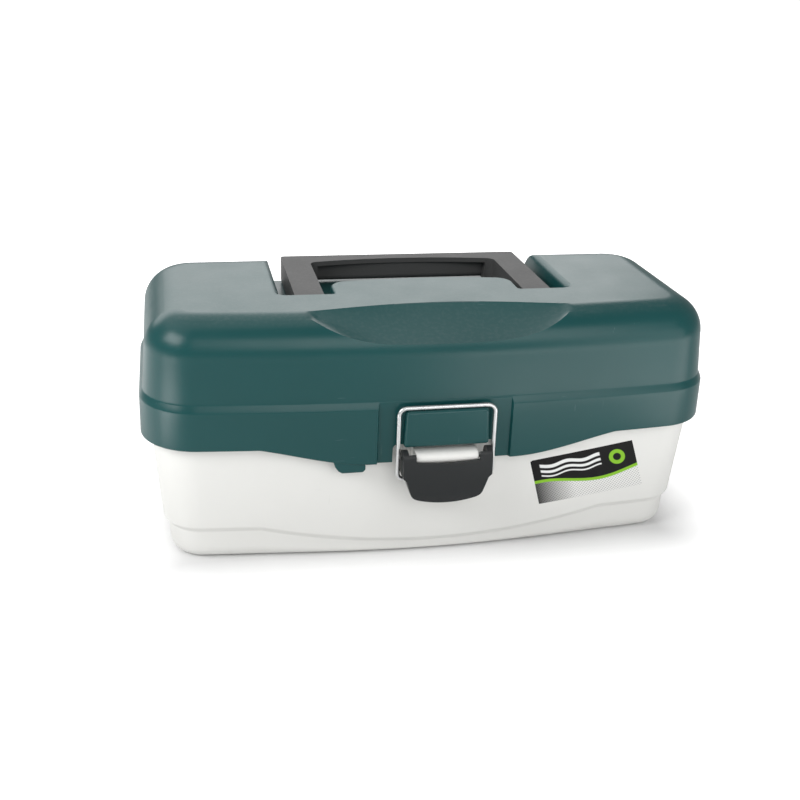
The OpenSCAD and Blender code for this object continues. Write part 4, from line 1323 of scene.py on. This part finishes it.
def tub_wall(place, height, out):
    """Point on the tub's front wall above its step, moved out from the wall."""
    low = step_height(place) + STEP_HALF
    inset = mix(STEP_TOP_IN, SHOULDER_IN, (height - low)/(SHOULDER_Z - low)) - out
    facing = front_facing(place)
    return (place - inset*facing[0], bow_y(place) - inset*facing[1], height)


def make_sticker():
    """Grid on the wall with a border that turns down to it."""
    low_left, low_right, high_left, high_right = (np.array(c)*MM for c in STICKER_CORNERS)
    columns, rows = 48, 24
    points, coordinates = [], []
    for j in range(rows + 1):
        for i in range(columns + 1):
            u, v = i/columns, j/rows
            at = mix(mix(low_left, low_right, u), mix(high_left, high_right, u), v)
            border = i in (0, columns) or j in (0, rows)
            points.append(tub_wall(at[0], at[1], 0 if border else STICKER_T))
            coordinates.append((u, v))
    wide = columns + 1
    faces = [[j*wide + i, j*wide + i + 1, (j + 1)*wide + i + 1, (j + 1)*wide + i]
             for j in range(rows) for i in range(columns)]
    sticker = piece("sticker", points, faces)
    layer = sticker.data.uv_layers.new(name="print")
    for loop in sticker.data.loops:
        layer.data[loop.index].uv = coordinates[loop.vertex_index]
    return sticker


def wave(tree, place, turns, shift, height):
    """Sine of a place, in the print's own units."""
    angle = math_node(tree, "MULTIPLY", math_node(tree, "ADD", place, shift), 2*math.pi*turns)
    return math_node(tree, "MULTIPLY", math_node(tree, "SINE", angle, 0.0), height)


def inside(tree, value, limit, blur):
    """1 where a value is under a limit, with a soft edge."""
    return range_node(tree, value, limit - blur, limit + blur, 1.0, 0.0)


def print_shader():
    """Black field with a wavy foot, a lime line along it, pale wave strokes, one lime ring and a field of dots."""
    material, tree, shader = new_material("sticker_print")
    shader.inputs["Roughness"].default_value = 0.32
    shader.inputs["Specular IOR Level"].default_value = 0.2
    uv = tree.nodes.new("ShaderNodeUVMap")
    uv.uv_map = "print"
    split = tree.nodes.new("ShaderNodeSeparateXYZ")
    tree.links.new(uv.outputs["UV"], split.inputs[0])
    u, v = split.outputs["X"], split.outputs["Y"]
    foot = math_node(tree, "ADD", wave(tree, u, 0.9, 0.22, 0.085), 0.42)
    above = math_node(tree, "SUBTRACT", v, foot)
    dots = tree.nodes.new("ShaderNodeTexVoronoi")
    dots.inputs["Randomness"].default_value = 0.0
    dots.inputs["Scale"].default_value = 24.0
    stretch = tree.nodes.new("ShaderNodeMapping")
    stretch.inputs["Scale"].default_value = (STICKER_ASPECT, 1.0, 1.0)
    stretch.inputs["Rotation"].default_value = (0, 0, math.radians(45))
    tree.links.new(uv.outputs["UV"], stretch.inputs["Vector"])
    tree.links.new(stretch.outputs["Vector"], dots.inputs["Vector"])
    dot = inside(tree, dots.outputs["Distance"], 0.30, 0.05)
    fade = range_node(tree, u, 0.0, 0.36, 0.95, 0.0)
    pale = mix_colour(tree, math_node(tree, "MULTIPLY", dot, 0.55), PAPER, DOT_GREY)
    ground = mix_colour(tree, fade, pale, FADE_BLACK)
    field = mix_colour(tree, inside(tree, above, 0.0, SOFT_EDGE), INK, ground)
    line = inside(tree, math_node(tree, "ABSOLUTE", above, 0.0), 0.032, SOFT_EDGE)
    strokes = mix_colour(tree, line, field, LIME)
    for level, thick in ((0.83, 0.036), (0.71, 0.028), (0.61, 0.016)):
        crest = math_node(tree, "ADD", wave(tree, u, 3.2, 0.05, 0.028), level)
        off = math_node(tree, "ABSOLUTE", math_node(tree, "SUBTRACT", v, crest), 0.0)
        run = math_node(tree, "MULTIPLY", inside(tree, u, 0.66, 0.004),
                        range_node(tree, u, 0.074, 0.082, 0.0, 1.0))
        stroke = math_node(tree, "MULTIPLY", inside(tree, off, thick, SOFT_EDGE), run)
        strokes = mix_colour(tree, stroke, strokes, STROKE_WHITE)
    across = math_node(tree, "MULTIPLY", math_node(tree, "SUBTRACT", u, 0.82), STICKER_ASPECT)
    up = math_node(tree, "SUBTRACT", v, 0.72)
    away = math_node(tree, "SQRT", math_node(tree, "ADD", math_node(tree, "MULTIPLY", across, across),
                                            math_node(tree, "MULTIPLY", up, up)), 0.0)
    rim = math_node(tree, "ABSOLUTE", math_node(tree, "SUBTRACT", away, 0.12), 0.0)
    ring_mask = inside(tree, rim, 0.04, SOFT_EDGE)
    tree.links.new(mix_colour(tree, ring_mask, strokes, LIME), shader.inputs["Base Color"])
    return material


sticker = make_sticker()
finish_shading(sticker, print_shader(), 60)
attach(sticker, "base")
print("sticker:", len(sticker.data.polygons), "faces on the tub's wall")

# %% [markdown]
# ## The tray
# The tray hangs on the lid and stays level while the lid opens. It could be a box with an inset face,
# but its shell is lofted like the tub's, because the rings also give the rounded rim and foot.

# %% Tray shell
tray_low, tray_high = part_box("tray")
TRAY_R = 12*MM
TRAY_WALL = 2*MM
TRAY_ROUND = 1.5*MM
TRAY_RIM = 0.7*MM
ROW_Y = mix(tray_low.y, tray_high.y, 0.52)
REAR_WALL_X = 50*MM
INNER_TOP = tray_high.z - 3*MM
TRAY_BOSS_T = 4*MM
LINK_PIN = pin_line("link_pin_right")[0]
HEAD_R = 4*MM
THIN_EDGE = 0.5*MM


def tray_ring(inset, z):
    """Round-cornered ring of the tray, moved in."""
    radius = TRAY_R - inset
    x = tray_high.x - TRAY_R
    corners = ((x, tray_low.y + TRAY_R, 270), (x, tray_high.y - TRAY_R, 0), (-x, tray_high.y - TRAY_R, 90),
               (-x, tray_low.y + TRAY_R, 180))
    return np.array([(px, py, z) for cx, cy, start in corners
                     for px, py in arc((cx, cy), radius, start, start + 90, 12)])


def make_tray():
    turns = np.radians(np.linspace(0, 90, 6))
    rings = [tray_ring(TRAY_ROUND*(1 - math.sin(a)), tray_low.z + TRAY_ROUND*(1 - math.cos(a))) for a in turns]
    rings += [tray_ring(TRAY_RIM*(1 - math.cos(a)), tray_high.z - TRAY_RIM*(1 - math.sin(a))) for a in turns]
    rings += [tray_ring(TRAY_WALL - TRAY_RIM*(1 - math.cos(a)), tray_high.z - TRAY_RIM*(1 - math.sin(a)))
              for a in turns[::-1]]
    rings += [tray_ring(TRAY_WALL + TRAY_ROUND*(1 - math.sin(a)),
                        tray_low.z + TRAY_WALL + TRAY_ROUND*(1 - math.cos(a))) for a in turns[::-1]]
    tray = loft("tray_shell", rings)
    half = tray_high.x - TRAY_WALL/2
    walls = [box("row", -half, half, ROW_Y, ROW_Y + TRAY_WALL, tray_low.z + TRAY_WALL/2, INNER_TOP)]
    walls += [box("rear", x - TRAY_WALL/2, x + TRAY_WALL/2, ROW_Y + TRAY_WALL/2, tray_high.y - TRAY_WALL/2,
                  tray_low.z + TRAY_WALL/2, INNER_TOP) for x in (-REAR_WALL_X, REAR_WALL_X)]
    for wall in walls:
        soften(wall, THIN_EDGE)
        join(tray, wall, "UNION")
    for side in (-1, 1):
        for y, z in (TRAY_PIN, LINK_PIN):
            boss = rod("boss", side*half, side*(tray_high.x - TRAY_BOSS_T), y, z, HEAD_R)
            join(tray, boss, "UNION")
            hole = rod("hole", side*(tray_high.x - 2*TRAY_BOSS_T), side*(tray_high.x + MM), y, z, TRAY_PIN_R)
            join(tray, hole, "DIFFERENCE")
    return tray


tray = make_tray()
dress(tray, "tray", "tray_plastic", "tray")
print("tray:", len(tray.data.polygons), "faces")

# %% [markdown]
# ### Guides and dividers
# A divider is a thin card that slides between two pairs of ribs. The ribs could be copied by hand, but then they
# wouldn't follow a divider that moves. Here points are set beside each card, and a Geometry Nodes group puts
# the same rib on every point.

# %% Guides and dividers of the tray
GUIDE_T = 1.2*MM
GUIDE_D = 2*MM
GUIDE_SINK = 0.5*MM
GUIDE_EDGE = 0.2*MM
DIVIDER_R = 3*MM
DIVIDER_EDGE = 0.3*MM
DIVIDERS = ("divider_1", "divider_2", "divider_3", "divider_4")


def make_rib_row():
    group, given, result = geometry_group("rib_row", [
        ("Rib Size", "NodeSocketVector", (0.001, 0.002, 0.028)), ("Material", "NodeSocketMaterial", None)])
    rib = group.nodes.new("GeometryNodeMeshCube")
    spread = group.nodes.new("GeometryNodeInstanceOnPoints")
    group.links.new(given.outputs["Rib Size"], rib.inputs["Size"])
    group.links.new(given.outputs["Geometry"], spread.inputs["Points"])
    group.links.new(rib.outputs["Mesh"], spread.inputs["Instance"])
    close_group(group, given, result, spread.outputs["Instances"])
    return group


def make_guides():
    """One marked point at the middle of each rib, from the dividers' own places."""
    height = INNER_TOP - tray_low.z - TRAY_WALL/2
    middle = tray_low.z + TRAY_WALL/2 + height/2
    points = []
    for name in DIVIDERS:
        low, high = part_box(name)
        step = (high.x - low.x)/2 + RUN_GAP + GUIDE_T/2
        for y in (low.y - RUN_GAP - GUIDE_SINK + GUIDE_D/2, high.y + RUN_GAP + GUIDE_SINK - GUIDE_D/2):
            points += [((low.x + high.x)/2 + side*step, y, middle) for side in (-1, 1)]
    guides = piece("tray_guides", points, [])
    rows = guides.modifiers.new("rib_row", "NODES")
    rows.node_group = make_rib_row()
    set_inputs(rows, {"Rib Size": (GUIDE_T, GUIDE_D, height), "Material": materials["tray_plastic"]})
    keep_result(guides)
    soften(guides, GUIDE_EDGE, 2)
    dress(guides, "tray", "tray_plastic")
    return guides


def make_divider(name):
    low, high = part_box(name)
    top = high.z - DIVIDER_R
    outline = ([(low.y, low.z), (high.y, low.z)] + arc((high.y - DIVIDER_R, top), DIVIDER_R, 0, 90, 6)
               + arc((low.y + DIVIDER_R, top), DIVIDER_R, 90, 180, 6))
    card = prism(name + "_card", outline, "x", low.x, high.x)
    soften(card, DIVIDER_EDGE, 2)
    dress(card, "tray", "tray_plastic", name)


guides = make_guides()
for name in DIVIDERS:
    make_divider(name)
print("guides:", len(guides.data.polygons), "faces; dividers:", len(DIVIDERS))

# %% [markdown]
# ## Arms and pins
# Two flat arms complete the linkage. Each pin is a turned part, so its half outline is spun about its own line,
# with a small chamfer on its ends and a low dome on its head. The places and lengths are read from the frame.

# %% Arms and pins
LINK_W = 10*MM
LINK_BAR = 8*MM
PIN_CHAMFER = 0.4*MM
LOOSE_FIT = 0.3*MM
HEAD_T = 1.2*MM
HANDLE_HEAD_T = 3*MM
HEAD_EDGE = 0.15*MM
DOME_SHARE = 0.35
HEADED_PINS = {"arm_pin": (-1, HEAD_T, TRAY_PIN_R), "tray_pin": (1, HEAD_T, TRAY_PIN_R),
               "link_pin": (1, HEAD_T, TRAY_PIN_R), "handle_pin": (-1, HANDLE_HEAD_T, HANDLE_PIN_R)}
PLAIN_PINS = ("hinge_pin_left", "hinge_pin_right", "latch_pin")


def make_arm(side, name):
    low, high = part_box(name)
    start, end = Vector(ARM_PIN), Vector(LINK_PIN)
    along_arm = (end - start).normalized()
    across = Vector((-along_arm.y, along_arm.x))*LINK_BAR/2
    outline = [tuple(p) for p in (start + across, start - across, end - across, end + across)]
    arm = prism(name + "_bar", outline, "x", low.x, high.x)
    for at in (start, end):
        join(arm, rod("eye", low.x, high.x, *at, LINK_W/2), "UNION")
    soften(arm, THIN_EDGE)
    for at, fit in ((start, PIN_FIT), (end, LOOSE_FIT)):
        join(arm, rod("hole", low.x - MM, high.x + MM, *at, TRAY_PIN_R + fit), "DIFFERENCE")
    dress(arm, "arm_left" if side < 0 else "arm_right", "handle_plastic", name)


def spin(name, rows, y, z, sides=40):
    """Turned part about a line along X: rows of place and radius."""
    angles = np.linspace(0, 2*math.pi, sides, endpoint=False)
    rings = [np.array([(x, y + r*math.cos(a), z + r*math.sin(a)) for a in angles]) for x, r in rows]
    return loft(name, rings)


def shaft_rows(x0, x1, radius):
    """Plain pin with a chamfer at each end."""
    small = radius - PIN_CHAMFER
    return [(x0, small), (x0 + PIN_CHAMFER, radius), (x1 - PIN_CHAMFER, radius), (x1, small)]


def headed_rows(ends, head_r, head_end, head_t, shaft_r):
    """Shaft from the low end, head at the high end, or the other way round."""
    inner, outer = ends if head_end > 0 else ends[::-1]
    sign = 1 if outer > inner else -1
    base = outer - sign*head_t
    dome = [(outer - sign*head_t*(DOME_SHARE*(1 - math.cos(a))), head_r*math.sin(a))
            for a in np.radians(np.linspace(80, 12, 6))]
    rows = [(inner, shaft_r - PIN_CHAMFER), (inner + sign*PIN_CHAMFER, shaft_r), (base, shaft_r),
            (base, head_r - HEAD_EDGE), (base + sign*HEAD_EDGE, head_r)] + dome
    return rows if sign > 0 else rows[::-1]


def make_pins():
    count = 0
    for name in PLAIN_PINS:
        at, radius, ends = pin_line(name)
        pin = spin(name + "_rod", shaft_rows(*ends, radius), *at)
        dress(pin, "base", "steel", name)
        count += 1
    for kind, (head_end, head_t, shaft_r) in HEADED_PINS.items():
        for side, word in ((-1, "left"), (1, "right")):
            name = kind + "_" + word
            at, head_r, ends = pin_line(name)
            pin = spin(name + "_rivet", headed_rows(ends, head_r, head_end*side, head_t, shaft_r), *at)
            body = next(b for b, parts in frame["record"]["behaviour"]["bodies"].items() if name in parts)
            dress(pin, body, slot_of_node[name], name)
            count += 1
    return count


for side, word in ((-1, "left"), (1, "right")):
    make_arm(side, "tray_arm_" + word)
print("arms: 2; pins:", make_pins())
